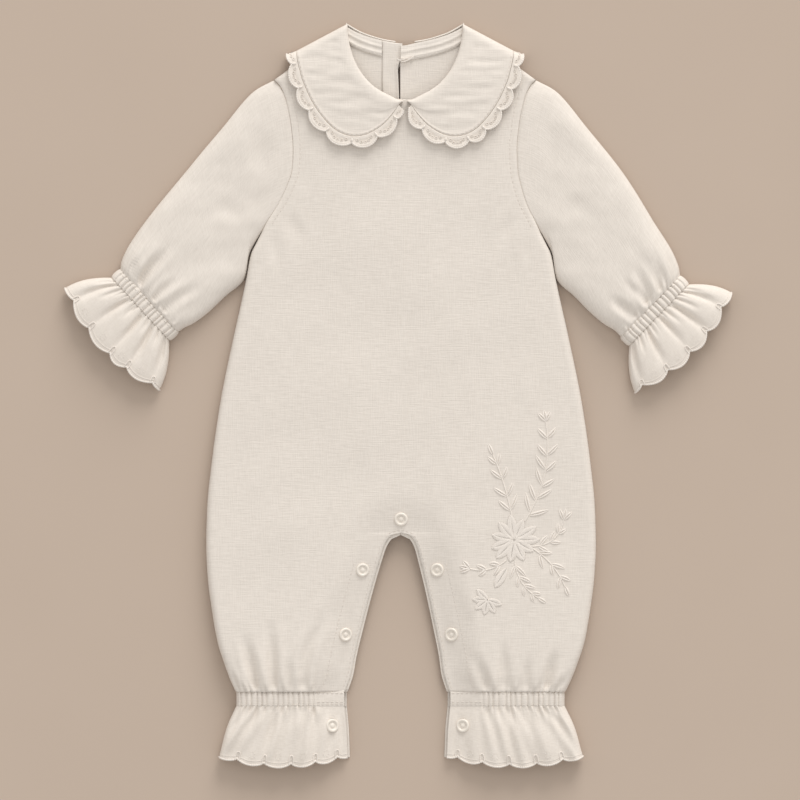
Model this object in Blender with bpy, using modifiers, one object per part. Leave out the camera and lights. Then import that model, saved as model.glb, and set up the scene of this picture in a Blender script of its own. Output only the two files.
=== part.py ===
"""A baby's long-sleeved romper with a round scalloped collar and ruffled cuffs, laid flat and face up.

X runs across the garment, with the wearer's left at +X, Y runs from the hems to the neck, and Z is the height
above the surface that it lies on. Sizes are in millimetres, and place() turns them to metres. A spot on the
garment is given as a pattern cutter gives it: across, from the centre line, and down, from the top of the
shoulder at the neck. Both halves are cut alike, and place() then lays them a little askew.
"""

import math
from collections import namedtuple

import bmesh
import bpy
from mathutils import Matrix, Vector

MM = 0.001
SIDES = {"left": 1, "right": -1}

# Cloth and seams.
CLOTH = 1.2
TRIM_CLOTH = 1.0
SEAM_GAP = 0.3
SEAM_HEIGHT = 3.0
BACK_ROLL = 9.0

# How the garment lies: its own frame, and the drifts of the neck, the legs and the sleeves.
CENTRE_ACROSS = 1.88
HALF_LENGTH = 267.25
NECK_DRIFT = 2.9
NECK_DRIFT_ENDS = (100, 150)
LEG_DRIFT = -3.8
LEG_DRIFT_ENDS = (360, 480)
LEG_REACH = 131
SLEEVE_SWING = math.radians(0.7)

# Front neck opening, shoulders and underarm.
NECK_HALF = 43.2
NECK_DROP = 54.3
NECK_BEND = 2.0
NECK_SEAM = 0.9
NECK_FOOT = 56.5
SHOULDER_TOP = (46.5, 5.4)
SHOULDER_TIP = (94.3, 40.3)
UNDERARM = (100.8, 150.5)
BACK_NECK_DROP = 14.4
BACK_NECK_BEND = 1.5

# Crotch, legs and the snap flap along the inner legs.
CROTCH = 366.5
FLAP_TOP = 2.7
FLAP_EASE = 38.0
FLAP_STARTS = 330.0
BACK_PEEK = 1.8
LEG_END = 480.7

# The back-neck opening: the binding inside the neck edge, the placket and the button.
OPENING_EDGE = 0.6
PLACKET_WIDTH = 13.6
PLACKET_LEVELS = [30, 50, 70, 88]
BINDING_ENDS = 38.0
BINDING_DEPTH = 10.0
BINDING_STEPS = 6
BUTTON_DOWN = 21.4

# The back stands off the surface near the neck, where the collar is folded beneath it.
COLLAR_ROOM = 1.8
COLLAR_ROOM_ENDS = (80, 110)

# Casings and ruffles.
CASING_CROWN = 9.5
WRIST_CASING = 8.0
ANKLE_CASING = 10.0
WRIST_STOPS = [0, 0.03, 0.1, 0.22, 0.4, 0.6, 0.78, 0.9, 0.97, 1]
CASING_STOPS = [0, 0.1, 0.25, 0.45, 0.65, 0.82, 0.92, 0.98, 1]
ANKLE_RUFFLE = 40.8
ANKLE_ROLL = 16.0
ANKLE_HEM_SAG = 7.0
SCALLOPS = 6
SCALLOP_PARTS = 4
SCALLOP_DEPTH = 3.5
FLUTE = 0.16
UNDER_STEP = 2

# Snaps along the inner legs, and the button.
SNAP_RADIUS = 5.15
SNAP_STEPS = 14
SNAP_INSET = 10.0
SNAP_DOWNS = {"thigh": 393.0, "shin": 439.5}
ANKLE_SNAP_DOWN = 505.0
BUTTON_RADIUS = 4.6
BUTTON_THICK = 1.3
BUTTON_STEPS = 16

# (radius, height) from the cap's middle over its recess and its raised rim to the foot.
SNAP_PROFILE = [
    (0, 1.0),
    (1.9, 0.9),
    (2.2, 0.45),
    (3.1, 0.45),
    (3.7, 1.3),
    (4.7, 1.3),
    (SNAP_RADIUS, 0.6),
    (SNAP_RADIUS, 0),
    (0, 0),
]

Edge = namedtuple("Edge", "down half_width")
ARMHOLE = [
    Edge(40.3, 94.3),
    Edge(44, 90.5),
    Edge(54.7, 85.7),
    Edge(72, 82),
    Edge(90.7, 80.3),
    Edge(105, 81),
    Edge(119.5, 85),
    Edge(130.3, 89.6),
    Edge(141, 96),
    Edge(150.5, 100.8),
]
SIDE_SEAM = [
    Edge(150.5, 100.8),
    Edge(158, 104.5),
    Edge(166, 108.3),
    Edge(184, 111.6),
    Edge(207, 116.6),
    Edge(230, 121.7),
    Edge(271, 130),
    Edge(317, 136.6),
    Edge(350, 139.8),
    Edge(375, 140.4),
    Edge(398, 139.3),
    Edge(421, 136.4),
    Edge(444, 132.4),
    Edge(461, 127),
    Edge(472, 122.8),
    Edge(480.7, 118.8),
]
INNER_LEG = [
    Edge(366.5, 0),
    Edge(368.6, 7.2),
    Edge(374.4, 11.2),
    Edge(385.9, 14.8),
    Edge(409, 20.9),
    Edge(432, 26.3),
    Edge(455, 31.3),
    Edge(466.6, 33.1),
    Edge(480.7, 37.6),
]

Crown = namedtuple("Crown", "down height roll")
FRONT_CROWN = [
    Crown(5, 5, 12),
    Crown(20, 6.2, 16),
    Crown(40, 7.6, 22),
    Crown(90, 9, 26),
    Crown(150, 10, 28),
    Crown(230, 10, 28),
    Crown(320, 11, 28),
    Crown(366, 11.5, 28),
    Crown(400, 12.8, 28),
    Crown(430, 13.4, 26),
    Crown(455, 13.6, 24),
    Crown(466, 13.2, 22),
    Crown(474, 12.2, 18),
    Crown(481, 9.8, 14),
]

# The sleeve's upper and lower fold at stations from the armhole to the wrist.
Station = namedtuple("Station", "top_across top_down low_across low_down bow crown")
SLEEVE = [
    Station(*SHOULDER_TIP, *UNDERARM, 1.0, 9.5),
    Station(111.2, 50.6, 109.1, 166, 0.62, 9.5),
    Station(131.4, 74.9, 112.6, 184, 0.30, 10),
    Station(150.5, 97.9, 125.3, 195.8, 0.10, 11),
    Station(168.1, 121, 137.2, 207.4, 0, 12.4),
    Station(182.2, 141.1, 147.2, 215.4, 0, 13.4),
    Station(194.6, 159.8, 154.8, 219.6, 0, 13.6),
    Station(200.2, 171.6, 158.0, 222.2, 0, 12.6),
    Station(201.6, 178.8, 159.5, 223.7, 0, 9.8),
]
WRIST = ((201.9, 179.6), (159.9, 224.1))
WRIST_HEM = ((240.1, 192.0), (171.5, 264.7))
WRIST_HEM_SAG = 11.0
WRIST_BULGE = 3.2
# Each sleeve was laid pushed up or drawn out a little, so its wrist lies off where both would be if they matched.
WRIST_SLIP = 1.5
SLIP_STARTS = 5

# The ruffles, from their casing to their hem. An ankle's has an inner and an outer edge.
Frill = namedtuple("Frill", "share inner outer crown")
ANKLE_FRILL = [
    Frill(0.0, 38.2, 118.2, CASING_CROWN),
    Frill(0.45, 36.6, 125.6, 12),
    Frill(1.0, 35.8, 131, 10),
]
CuffFrill = namedtuple("CuffFrill", "share crown")
WRIST_FRILL = [
    CuffFrill(0.0, CASING_CROWN),
    CuffFrill(0.5, 12),
    CuffFrill(1.0, 10),
]

# The largest folds: each runs down from a casing, with its depth and half its width.
Fold = namedtuple("Fold", "across down to_across to_down depth width")
LEG_FOLDS = [
    Fold(111, 442, 104, 478, 2.0, 6),
    Fold(95, 432, 90, 478, 1.8, 6),
    Fold(67, 446, 72, 478, 1.9, 6),
    Fold(50, 420, 57, 478, 1.5, 7),
]
SLEEVE_FOLDS = [
    Fold(161, 154, 189.5, 188, 2.2, 6),
    Fold(184, 165, 197, 184, 1.7, 5),
    Fold(141, 189, 168, 206, 1.8, 6),
    Fold(159, 185, 179, 198, 1.5, 6),
]

# One collar half: the neck roll, the cloth edge and the lace edge. lies is 1 on the front and -1 on the back.
CollarRow = namedtuple("CollarRow", "lies neck_across neck_down edge_across edge_down lace_across lace_down")
COLLAR = [
    CollarRow(1, 2.0, 55.0, 4.6, 58.4, 0.9, 62.5),
    CollarRow(1, 8, 54.3, 10.0, 66.5, 4.2, 71.8),
    CollarRow(1, 15, 51.8, 17.5, 74.0, 12.6, 80.7),
    CollarRow(1, 21.5, 48.0, 28, 79.8, 25.3, 87.8),
    CollarRow(1, 27, 43.3, 38.5, 81.0, 39.5, 89.3),
    CollarRow(1, 31.6, 37.9, 49, 77.2, 53.6, 84.4),
    CollarRow(1, 35.6, 31.7, 58.8, 68.0, 65.4, 73.6),
    CollarRow(1, 38.9, 24.5, 67, 56.0, 74.5, 60.2),
    CollarRow(1, 41.3, 16.8, 73.2, 42.5, 81.2, 45.7),
    CollarRow(1, 42.4, 11.3, 75.6, 34.5, 83.7, 36.7),
    CollarRow(1, 43.0, 6.1, 77.4, 27.2, 85.0, 28.7),
    CollarRow(0, 43.2, 0.7, 78.4, 19.3, 85.2, 21.8),
    CollarRow(-1, 40.5, 2.6, 77.5, 31, 83, 32),
    CollarRow(-1, 33, 6.9, 70, 49, 75, 53),
    CollarRow(-1, 25, 10, 56, 61, 60, 67),
    CollarRow(-1, 16, 12.6, 36, 66, 37, 72.5),
    CollarRow(-1, 7, 14.2, 12, 62, 11, 68.5),
]
LACE_SCALLOPS = 8
LACE_PARTS = 3
LACE_CUSP = 0.5

# The collar from its seam, up over the roll and out: out is from the neck edge, up is above what it lies on.
Roll = namedtuple("Roll", "out up under")
COLLAR_ROLL = [
    Roll(-1.6, -0.4, 3.0),
    Roll(-2.0, 1.8, 1.7),
    Roll(-0.4, 3.8, 0.3),
    Roll(4.0, 4.4, 0),
    Roll(11.0, 3.4, 0),
]
COLLAR_FALL = [(0.55, 2.6), (0.8, 2.2), (1, 2.1)]
LACE_REST = 2.2

NECK_LEVELS = [SHOULDER_TOP[1], 13, 24, 33]
ARMHOLE_LEVELS = [40.3, 43, 49, 53.6, NECK_FOOT, 68, 90, 112, 130, 142, 148, 150.5]
BODY_LEVELS = [158, 166, 184, 205, 240, 280, 315, 340]
FRONT_LEG_LEVELS = [348, 356.5, CROTCH, 368.6, 374.4, 386, 405, 425, 442, 455, 465, 473, LEG_END]
BACK_LEG_LEVELS = [368.2, 371, 376, 388, 410, 440, 462, 473, LEG_END]
FRONT_STOPS = [0, 0.07, 0.16, 0.3, 0.48, 0.66, 0.8, 0.9, 0.965, 1]
BACK_STOPS = [0, 0.3, 0.6, 0.88, 0.96, 1]

Finish = namedtuple("Finish", "name red green blue roughness metallic")
DOUBLE_GAUZE = Finish("cotton_gauze", 0.80, 0.74, 0.67, 0.92, 0.0)
LACE = Finish("embroidered_edging", 0.84, 0.79, 0.72, 0.9, 0.0)
SNAP_RESIN = Finish("snap_resin", 0.82, 0.77, 0.70, 0.38, 0.0)


def eased(value, start, end):
    """0 before start, 1 after end, and a smooth step between."""
    share = min(1.0, max(0.0, (value - start) / (end - start)))
    return share * share * (3 - 2 * share)


def mixed(start, end, share):
    return start + (end - start) * share


def rounded(share):
    """The rise of a quarter circle, from 0 at its edge to 1."""
    share = min(1.0, max(0.0, share))
    return math.sqrt(1 - (1 - share) ** 2)


def arch(share):
    """A parabola from 0 at either end to 1 in the middle."""
    return 4 * share * (1 - share)


def pillow(share):
    """The rise of a flattened tube between its two folds, at shares 0 and 1."""
    return math.sqrt(max(0.0, 1 - abs(2 * share - 1) ** 4))


def smooth(rows, column, at):
    """A table's named column at a place between its rows, on a smooth curve that never overshoots them."""
    places = [row[0] for row in rows]
    values = [getattr(row, column) for row in rows]
    if at <= places[0]:
        return values[0]
    if at >= places[-1]:
        return values[-1]
    steps = [b - a for a, b in zip(places, places[1:])]
    slopes = [(b - a) / step for a, b, step in zip(values, values[1:], steps)]
    low = max(index for index, spot in enumerate(places) if spot <= at)

    def slope(index):
        if index in (0, len(slopes)):
            return slopes[min(index, len(slopes) - 1)]
        before, after = slopes[index - 1], slopes[index]
        return 0 if before * after <= 0 else 2 * before * after / (before + after)

    step = steps[low]
    share = (at - places[low]) / step
    bend = share * share * (3 - 2 * share)
    lead = share * (1 - share) ** 2 * step
    trail = -share * share * (1 - share) * step
    return mixed(values[low], values[low + 1], bend) + lead * slope(low) + trail * slope(low + 1)


def place(across, down, height):
    """The point in metres of a spot on the pattern, with the small drifts that the garment was laid with."""
    neck = NECK_DRIFT * (1 - eased(down, *NECK_DRIFT_ENDS))
    start, end = LEG_DRIFT_ENDS
    leg = LEG_DRIFT * min(1, max(0, (down - start) / (end - start)))
    drift = neck + leg * max(0, 1 - abs(across) / LEG_REACH)
    return Vector((CENTRE_ACROSS + across + drift, HALF_LENGTH - down, height)) * MM


def folded(across, down, folds):
    """How far the largest folds sink the cloth at one spot."""
    sunk = 0.0
    for fold in folds:
        run = Vector((fold.to_across - fold.across, fold.to_down - fold.down))
        spot = Vector((across - fold.across, down - fold.down))
        share = min(1.0, max(0.0, spot.dot(run) / run.length_squared))
        away = (spot - run * share).length / fold.width
        sunk += fold.depth * math.sqrt(share) * math.exp(-away * away)
    return sunk


# ------------------------------------------------------------------ the body's outline and its two skins


def front_neck(down):
    """Half the front neck opening, cut just outside the roll of the collar."""
    share = min(1.0, max(0, down - NECK_SEAM) / NECK_DROP)
    return NECK_HALF * (1 - share**NECK_BEND) ** (1 / NECK_BEND)


def back_neck(across):
    share = min(1.0, abs(across) / NECK_HALF)
    return BACK_NECK_DROP * (1 - share**BACK_NECK_BEND) ** (1 / BACK_NECK_BEND)


def outer_edge(down):
    """Half the body's width: along the shoulder, then the armhole, then the side seam."""
    top, tip = SHOULDER_TOP, SHOULDER_TIP
    if down <= tip[1]:
        return mixed(top[0], tip[0], (down - top[1]) / (tip[1] - top[1]))
    if down <= UNDERARM[1]:
        return smooth(ARMHOLE, "half_width", down)
    return smooth(SIDE_SEAM, "half_width", down)


def armhole_share(down):
    """How far along the armhole's chord its point at this level lies, from shoulder tip to underarm."""
    chord = Vector(UNDERARM) - Vector(SHOULDER_TIP)
    spot = Vector((outer_edge(down), down)) - Vector(SHOULDER_TIP)
    return min(1.0, max(0.0, spot.dot(chord) / chord.length_squared))


def in_armhole(down):
    return SHOULDER_TIP[1] < down < UNDERARM[1]


def collar_room(down):
    return COLLAR_ROOM * (1 - eased(down, *COLLAR_ROOM_ENDS))


# inner and outer are a level's two edges. edge is the outer edge's height, and lean is 1 where its cut
# face stands upright and 0 where it lies level, as at a seam with the layer below.
Level = namedtuple("Level", "down inner outer crown roll flap edge lean")


def front_level(down):
    lean = pillow(armhole_share(down)) if in_armhole(down) else 0.0
    crown = smooth(FRONT_CROWN, "height", down)
    seam = SEAM_HEIGHT + SEAM_GAP / 2
    inner = front_neck(down) if down < NECK_FOOT else smooth(INNER_LEG, "half_width", down)
    return Level(
        down=down,
        inner=inner,
        outer=outer_edge(down),
        crown=crown,
        roll=smooth(FRONT_CROWN, "roll", down),
        flap=eased(down, FLAP_STARTS, CROTCH),
        edge=mixed(seam, crown, lean),
        lean=lean,
    )


def front_skin(level, across):
    """Both faces of the front layer at one spot: (across, height) outside, then inside."""
    rise = rounded((level.outer - across) / level.roll)
    flap = 1 - level.flap * (1 - eased(across, level.inner, level.inner + FLAP_EASE))
    share = (across - level.inner) / (level.outer - level.inner)
    low = mixed(FLAP_TOP, level.edge, min(1, max(0, share)))
    height = low + (level.crown - low) * rise * flap
    lean = level.lean + (1 - level.lean) * rise
    inset = CLOTH * math.sqrt(1 - lean * lean)
    return (across, height), (across - inset, height - CLOTH * lean)


def back_edge_rise(share, width):
    """How far the back layer has come down from a fold to its resting level, 0 to 1."""
    return rounded(min(share, 1 - share) * width / BACK_ROLL)


def back_level(down):
    room = collar_room(down)
    chord = (Vector(UNDERARM) - Vector(SHOULDER_TIP)).length
    lean = back_edge_rise(armhole_share(down), chord) if in_armhole(down) else 0.0
    seam = SEAM_HEIGHT - SEAM_GAP / 2
    inner = max(0, smooth(INNER_LEG, "half_width", down - BACK_PEEK * 0.7) - BACK_PEEK * 0.8)
    return Level(
        down=down,
        inner=inner,
        outer=outer_edge(down),
        crown=room,
        roll=BACK_ROLL,
        flap=0,
        edge=mixed(seam, room, lean),
        lean=lean,
    )


def back_skin(level, across):
    """Both faces of the back layer at one spot: (across, height) below, then above."""
    fall = rounded((level.outer - across) / level.roll)
    height = mixed(level.edge, level.crown, fall)
    lean = level.lean + (1 - level.lean) * fall
    inset = CLOTH * math.sqrt(1 - lean * lean)
    return (across, height), (across - inset, height + CLOTH * lean)


def front_height(across, down):
    """The height of the front's outer face under a spot, or of its seam where the spot is past it."""
    level = front_level(max(down, SHOULDER_TOP[1]))
    across = min(level.outer, max(level.inner, abs(across)))
    height = front_skin(level, across)[0][1]
    return height - folded(across, down, LEG_FOLDS)


# ------------------------------------------------------------------ meshes


def new_object(name, mesh, finish):
    """An object of the romper with its own material, and smooth shading between its sharp edges."""
    material = bpy.data.materials.new(f"{name}_{finish.name}")
    material.use_nodes = True
    shader = material.node_tree.nodes["Principled BSDF"]
    shader.inputs["Base Color"].default_value = (finish.red, finish.green, finish.blue, 1)
    shader.inputs["Roughness"].default_value = finish.roughness
    shader.inputs["Metallic"].default_value = finish.metallic
    material.diffuse_color = (finish.red, finish.green, finish.blue, 1)
    mesh.materials.append(material)
    mesh.shade_smooth()
    mesh.set_sharp_from_angle(angle=math.radians(50))
    obj = bpy.data.objects.new(name, mesh)
    bpy.data.collections["baby_romper"].objects.link(obj)
    return obj


def open_edges(quads):
    """The directed edges that only one quad has."""
    directed = {(a, b) for quad in quads for a, b in zip(quad, quad[1:] + quad[:1])}
    return [(a, b) for a, b in sorted(directed) if (b, a) not in directed]


def wall(name, outside, inside, quads, finish=DOUBLE_GAUZE):
    """A closed wall of cloth between two skins that share their quads, with its cut edges filled in."""
    mesh = bmesh.new()
    over = {key: mesh.verts.new(place(*spot)) for key, spot in outside.items()}
    under = {key: mesh.verts.new(place(*spot)) for key, spot in inside.items()}
    for quad in quads:
        mesh.faces.new([over[key] for key in quad])
        mesh.faces.new([under[key] for key in reversed(quad)])
    for a, b in open_edges(quads):
        mesh.faces.new([over[b], over[a], under[a], under[b]])
    bmesh.ops.recalc_face_normals(mesh, faces=mesh.faces)
    data = bpy.data.meshes.new(name)
    mesh.to_mesh(data)
    mesh.free()
    return new_object(name, data, finish)


def grid_quads(rows, columns, closed=False):
    """The quads of a grid of rows by columns, whose last column meets the first where it is closed."""
    turns = columns if closed else columns - 1
    return [
        ((row, col), (row, (col + 1) % columns), (row + 1, (col + 1) % columns), (row + 1, col))
        for row in range(rows - 1)
        for col in range(turns)
    ]


# ------------------------------------------------------------------ front and back


def make_front():
    """The front in one piece: two halves that share the centre line between the neck and the crotch."""
    downs = NECK_LEVELS + ARMHOLE_LEVELS + BODY_LEVELS + FRONT_LEG_LEVELS
    levels = [front_level(down) for down in downs]

    def key(side, row, stop):
        shared = stop == 0 and levels[row].inner < 1e-6
        return (0 if shared else side, row, stop)

    outside, inside, quads = {}, {}, []
    for side in SIDES.values():
        for row, level in enumerate(levels):
            for stop, share in enumerate(FRONT_STOPS):
                across = mixed(level.inner, level.outer, share)
                out, within = front_skin(level, across)
                sunk = folded(across, level.down, LEG_FOLDS)
                outside[key(side, row, stop)] = (side * out[0], level.down, out[1] - sunk)
                inside[key(side, row, stop)] = (side * within[0], level.down, within[1] - sunk)
        for a, b, c, d in grid_quads(len(levels), len(FRONT_STOPS)):
            quad = [key(side, *corner) for corner in (a, b, c, d)]
            quads.append(quad if side > 0 else quad[::-1])
    wall("front", outside, inside, quads)


def make_back(name, side):
    """One back half, flat on the surface, with its side rolled up to the seam."""
    downs = NECK_LEVELS + ARMHOLE_LEVELS + BODY_LEVELS + BACK_LEG_LEVELS
    outside, inside = {}, {}
    for row, down in enumerate(downs):
        level = back_level(down)
        for stop, share in enumerate(BACK_STOPS):
            inner = max(level.inner, SEAM_GAP / 2)
            across = mixed(inner, level.outer, share)
            below, above = back_skin(level, across)
            # The first levels follow the neck's curve down towards the centre.
            neck = back_neck(across) + NECK_SEAM
            spot = max(down, neck if row == 0 else mixed(neck, down, 0.5))
            outside[row, stop] = (side * below[0], spot, below[1])
            inside[row, stop] = (side * above[0], spot, above[1])
    wall(name, outside, inside, grid_quads(len(downs), len(BACK_STOPS)))


# ------------------------------------------------------------------ sleeves, casings and ruffles


def swung(spot, amount):
    """A spot of the sleeve turned about the shoulder tip, positive towards the hem."""
    arm = Matrix.Rotation(amount, 2) @ (Vector(spot[:2]) - Vector(SHOULDER_TIP))
    return (arm.x + SHOULDER_TIP[0], arm.y + SHOULDER_TIP[1], spot[2])


def flat_ring(top, low, crowns, stops, bows=None, room=None, under_step=1):
    """A flattened ring from fold to fold over the front and back again under it: outer and inner spots.

    crowns has the height over each stop, bows how far each lies off the straight line, and room how far the
    lower layer stands off the surface there.
    """
    top, low = Vector(top), Vector(low)
    chord = low - top
    along = chord.normalized()
    towards = Vector((-along.y, along.x))
    outer, inner = [], []

    def add(index, rise, inset, height, inward):
        share = stops[index]
        spot = top + chord * share
        if bows:
            spot += towards * bows[index]
        shift = along * inset * CLOTH * (1 if share < 0.5 else -1)
        outer.append((spot.x, spot.y, height))
        inner.append((spot.x + shift.x, spot.y + shift.y, height + inward * CLOTH * rise))

    for index, share in enumerate(stops):
        rise = pillow(share)
        add(index, rise, abs(2 * share - 1) ** 2, mixed(SEAM_HEIGHT, crowns[index], rise), -1)
    for index in range(len(stops) - 1 - under_step, 0, -under_step):
        near = min(stops[index], 1 - stops[index]) * chord.length / BACK_ROLL
        rise = rounded(near)
        base = room[index] if room else 0
        add(index, rise, max(0, 1 - near), mixed(SEAM_HEIGHT, base, rise), 1)
    return outer, inner


def tube(name, rings, finish=DOUBLE_GAUZE, side=1, swing=None, closed=True):
    """A wall lofted through rings of outer and inner spots, swung with its sleeve and set on its side."""
    outside, inside = {}, {}
    for row, (outer, inner) in enumerate(rings):
        turn = swing(row) if swing else 0
        for col, (out, within) in enumerate(zip(outer, inner)):
            for spots, spot in ((outside, out), (inside, within)):
                across, down, height = swung(spot, turn) if swing else spot
                spots[row, col] = (side * across, down, height)
    wall(name, outside, inside, grid_quads(len(rings), len(rings[0][0]), closed), finish)


def armhole_bows(shares):
    """How far the armhole's points lie from its chord, towards the body."""
    top, low = Vector(SHOULDER_TIP), Vector(UNDERARM)
    along = (low - top).normalized()
    towards = Vector((-along.y, along.x))
    bows = []
    for down, share in zip(ARMHOLE_LEVELS, shares):
        spot = Vector((outer_edge(down) + SEAM_GAP, down))
        bows.append((spot - top - (low - top) * share).dot(towards))
    return bows


def wrist_outward():
    """The direction in which the sleeve runs on over its wrist."""
    along = (Vector(WRIST[1]) - Vector(WRIST[0])).normalized()
    return Vector((along.y, -along.x))


def make_sleeve(name, side):
    """The sleeve from the armhole to the wrist casing, with its fullness and folds above the wrist."""
    stops = [armhole_share(down) for down in ARMHOLE_LEVELS]
    bows = armhole_bows(stops)
    rings = []
    for number, station in enumerate(SLEEVE):
        share = max(0, (number - SLIP_STARTS) / (len(SLEEVE) - 1 - SLIP_STARTS))
        slip = wrist_outward() * side * WRIST_SLIP * share
        top = Vector((station.top_across, station.top_down)) + slip
        low = Vector((station.low_across, station.low_down)) + slip
        crowns = [station.crown] * len(stops)
        if number == 0:
            crowns = [smooth(FRONT_CROWN, "height", down) for down in ARMHOLE_LEVELS]
        room = [collar_room(down) * max(0, 1 - number / 2) for down in ARMHOLE_LEVELS]
        bow = [value * station.bow for value in bows]
        outer, inner = flat_ring(top, low, crowns, stops, bow, room)
        for spots in (outer, inner):
            for col in range(1, len(stops) - 1):
                across, down, height = spots[col]
                spots[col] = (across, down, height - folded(across, down, SLEEVE_FOLDS))
        rings.append((outer, inner))
    last = len(SLEEVE) - 1
    tube(name, rings, side=side, swing=lambda row: side * SLEEVE_SWING * row / last)


def wrist_line(out, side):
    """Both corners of the wrist at a distance out from the casing's inner edge."""
    shift = wrist_outward() * (out + side * WRIST_SLIP)
    return tuple(Vector(WRIST[0]) + shift), tuple(Vector(WRIST[1]) + shift)


def full_swing(side):
    return lambda row: side * SLEEVE_SWING


def make_wrist_casing(name, side):
    crowns = [CASING_CROWN] * len(WRIST_STOPS)
    rings = [flat_ring(*wrist_line(out, side), crowns, WRIST_STOPS) for out in (SEAM_GAP, WRIST_CASING)]
    tube(name, rings, side=side, swing=full_swing(side))


def scallop_stops():
    """The stops across a ruffle, with its cusps among them."""
    count = SCALLOPS * SCALLOP_PARTS
    return [step / count for step in range(count + 1)]


def scallop_cut(share):
    """How much of a scallop's depth is cut away: all of it at a cusp and none at the crest."""
    return SCALLOP_DEPTH * (1 - abs(math.sin(math.pi * SCALLOPS * share)) ** 0.7)


def make_wrist_ruffle(name, side):
    """A fan of gathered cloth with a scalloped hem, which flutes more the nearer it is to the hem."""
    stops = scallop_stops()
    top_in, low_in = (Vector(corner) for corner in wrist_line(WRIST_CASING + SEAM_GAP, side))
    top_hem, low_hem = Vector(WRIST_HEM[0]), Vector(WRIST_HEM[1])
    rings = []
    for frill in WRIST_FRILL:
        top = top_in.lerp(top_hem, frill.share)
        low = low_in.lerp(low_hem, frill.share)
        spread = (low - top).normalized() * WRIST_BULGE * arch(frill.share)
        top, low = top - spread, low + spread
        bows = [-WRIST_HEM_SAG * frill.share * arch(stop) for stop in stops]
        if frill.share == 1:
            bows = [bow + scallop_cut(stop) for bow, stop in zip(bows, stops)]
        flutes = [FLUTE * frill.share * math.cos(2 * math.pi * SCALLOPS * stop) for stop in stops]
        crowns = [frill.crown * (1 + flute) for flute in flutes]
        rings.append(flat_ring(top, low, crowns, stops, bows, None, UNDER_STEP))
    tube(name, rings, LACE, side, full_swing(side))


def ankle_level(frill):
    """An ankle ring as a level of the leg, flat over the flap and rolled at the outer fold."""
    return Level(0, frill.inner, frill.outer, frill.crown, ANKLE_ROLL, 1, SEAM_HEIGHT, 0)


def ankle_ring(frill, downs, stops, flutes, under_step=1):
    """An ankle ring that is open at the inner leg: over the front from there, and back under it."""
    level = ankle_level(frill)
    outer, inner = [], []
    for share, down, flute in zip(stops, downs, flutes):
        across = mixed(frill.inner, frill.outer, share)
        out, within = front_skin(level, across)
        gain = max(0, out[1] - SEAM_HEIGHT) * flute * eased(across, frill.inner, frill.inner + FLAP_EASE)
        outer.append((out[0], down, out[1] + gain))
        inner.append((within[0], down, within[1] + gain))
    under = level._replace(crown=0, roll=BACK_ROLL, inner=frill.inner - BACK_PEEK)
    for share, down in list(zip(stops, downs))[-1 - under_step :: -under_step]:
        across = mixed(under.inner, frill.outer, share)
        below, above = back_skin(under, across)
        outer.append((below[0], down, below[1]))
        inner.append((above[0], down, above[1]))
    return outer, inner


def make_ankle_casing(name, side):
    flutes = [0] * len(CASING_STOPS)
    rings = []
    for down in (LEG_END + SEAM_GAP, LEG_END + ANKLE_CASING):
        rings.append(ankle_ring(ANKLE_FRILL[0], [down] * len(CASING_STOPS), CASING_STOPS, flutes))
    tube(name, rings, side=side, closed=False)


def make_ankle_ruffle(name, side):
    """A gathered frill with a scalloped hem, open at the inner leg as the flap above it is."""
    stops = scallop_stops()
    start = LEG_END + ANKLE_CASING + SEAM_GAP
    rings = []
    for frill in ANKLE_FRILL:
        level = start + (ANKLE_RUFFLE - SEAM_GAP) * frill.share
        downs = [level + ANKLE_HEM_SAG * (arch(stop) - 0.5) * frill.share for stop in stops]
        if frill.share == 1:
            downs = [down - scallop_cut(stop) for down, stop in zip(downs, stops)]
        flutes = [-FLUTE * frill.share * math.cos(2 * math.pi * SCALLOPS * stop) for stop in stops]
        rings.append(ankle_ring(frill, downs, stops, flutes, UNDER_STEP))
    tube(name, rings, LACE, side, closed=False)


# ------------------------------------------------------------------ collar, facings and placket


def collar_spot(row, across, down, up, under):
    """A spot of the collar, up above the front, level with the seam at the shoulder, or beneath the back."""
    if row.lies > 0:
        return (across, down, front_height(across, down) + up)
    return (across, down, SEAM_HEIGHT if row.lies == 0 else under)


def solidified(obj, thickness):
    """Thickens an open sheet away from the side that its faces look to."""
    modifier = obj.modifiers.new("cloth", "SOLIDIFY")
    modifier.thickness = thickness * MM
    modifier.offset = -1


def sheet(name, spots, side, finish):
    """An open sheet over a grid of spots, whose faces look away from the garment."""
    rows, columns = len(spots), len(spots[0])
    mesh = bmesh.new()
    grid = [[mesh.verts.new(place(side * a, d, h)) for a, d, h in row] for row in spots]
    for quad in grid_quads(rows, columns):
        corners = [grid[row][col] for row, col in quad]
        mesh.faces.new(corners if side > 0 else corners[::-1])
    data = bpy.data.meshes.new(name)
    mesh.to_mesh(data)
    mesh.free()
    return new_object(name, data, finish)


def make_collar(name, side):
    """One collar half, from the centre front over the shoulder to the centre back."""
    spots = []
    for row in COLLAR:
        neck = Vector((row.neck_across, row.neck_down))
        edge = Vector((row.edge_across, row.edge_down))
        width = (edge - neck).length
        outward = (edge - neck) / width
        line = []
        for roll in COLLAR_ROLL:
            out = roll.out if roll.out < width * 0.5 else width * 0.5
            spot = neck + outward * out
            line.append(collar_spot(row, spot.x, spot.y, roll.up, roll.under))
        for share, up in COLLAR_FALL:
            spot = neck.lerp(edge, share)
            line.append(collar_spot(row, spot.x, spot.y, up, 0))
        spots.append(line)
    solidified(sheet(name, spots, side, DOUBLE_GAUZE), CLOTH)


def collar_between(at):
    """The collar's row at a place between two rows of the table."""
    low = min(int(at), len(COLLAR) - 2)
    values = [mixed(a, b, at - low) for a, b in zip(COLLAR[low], COLLAR[low + 1])]
    return CollarRow(*values)


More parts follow.
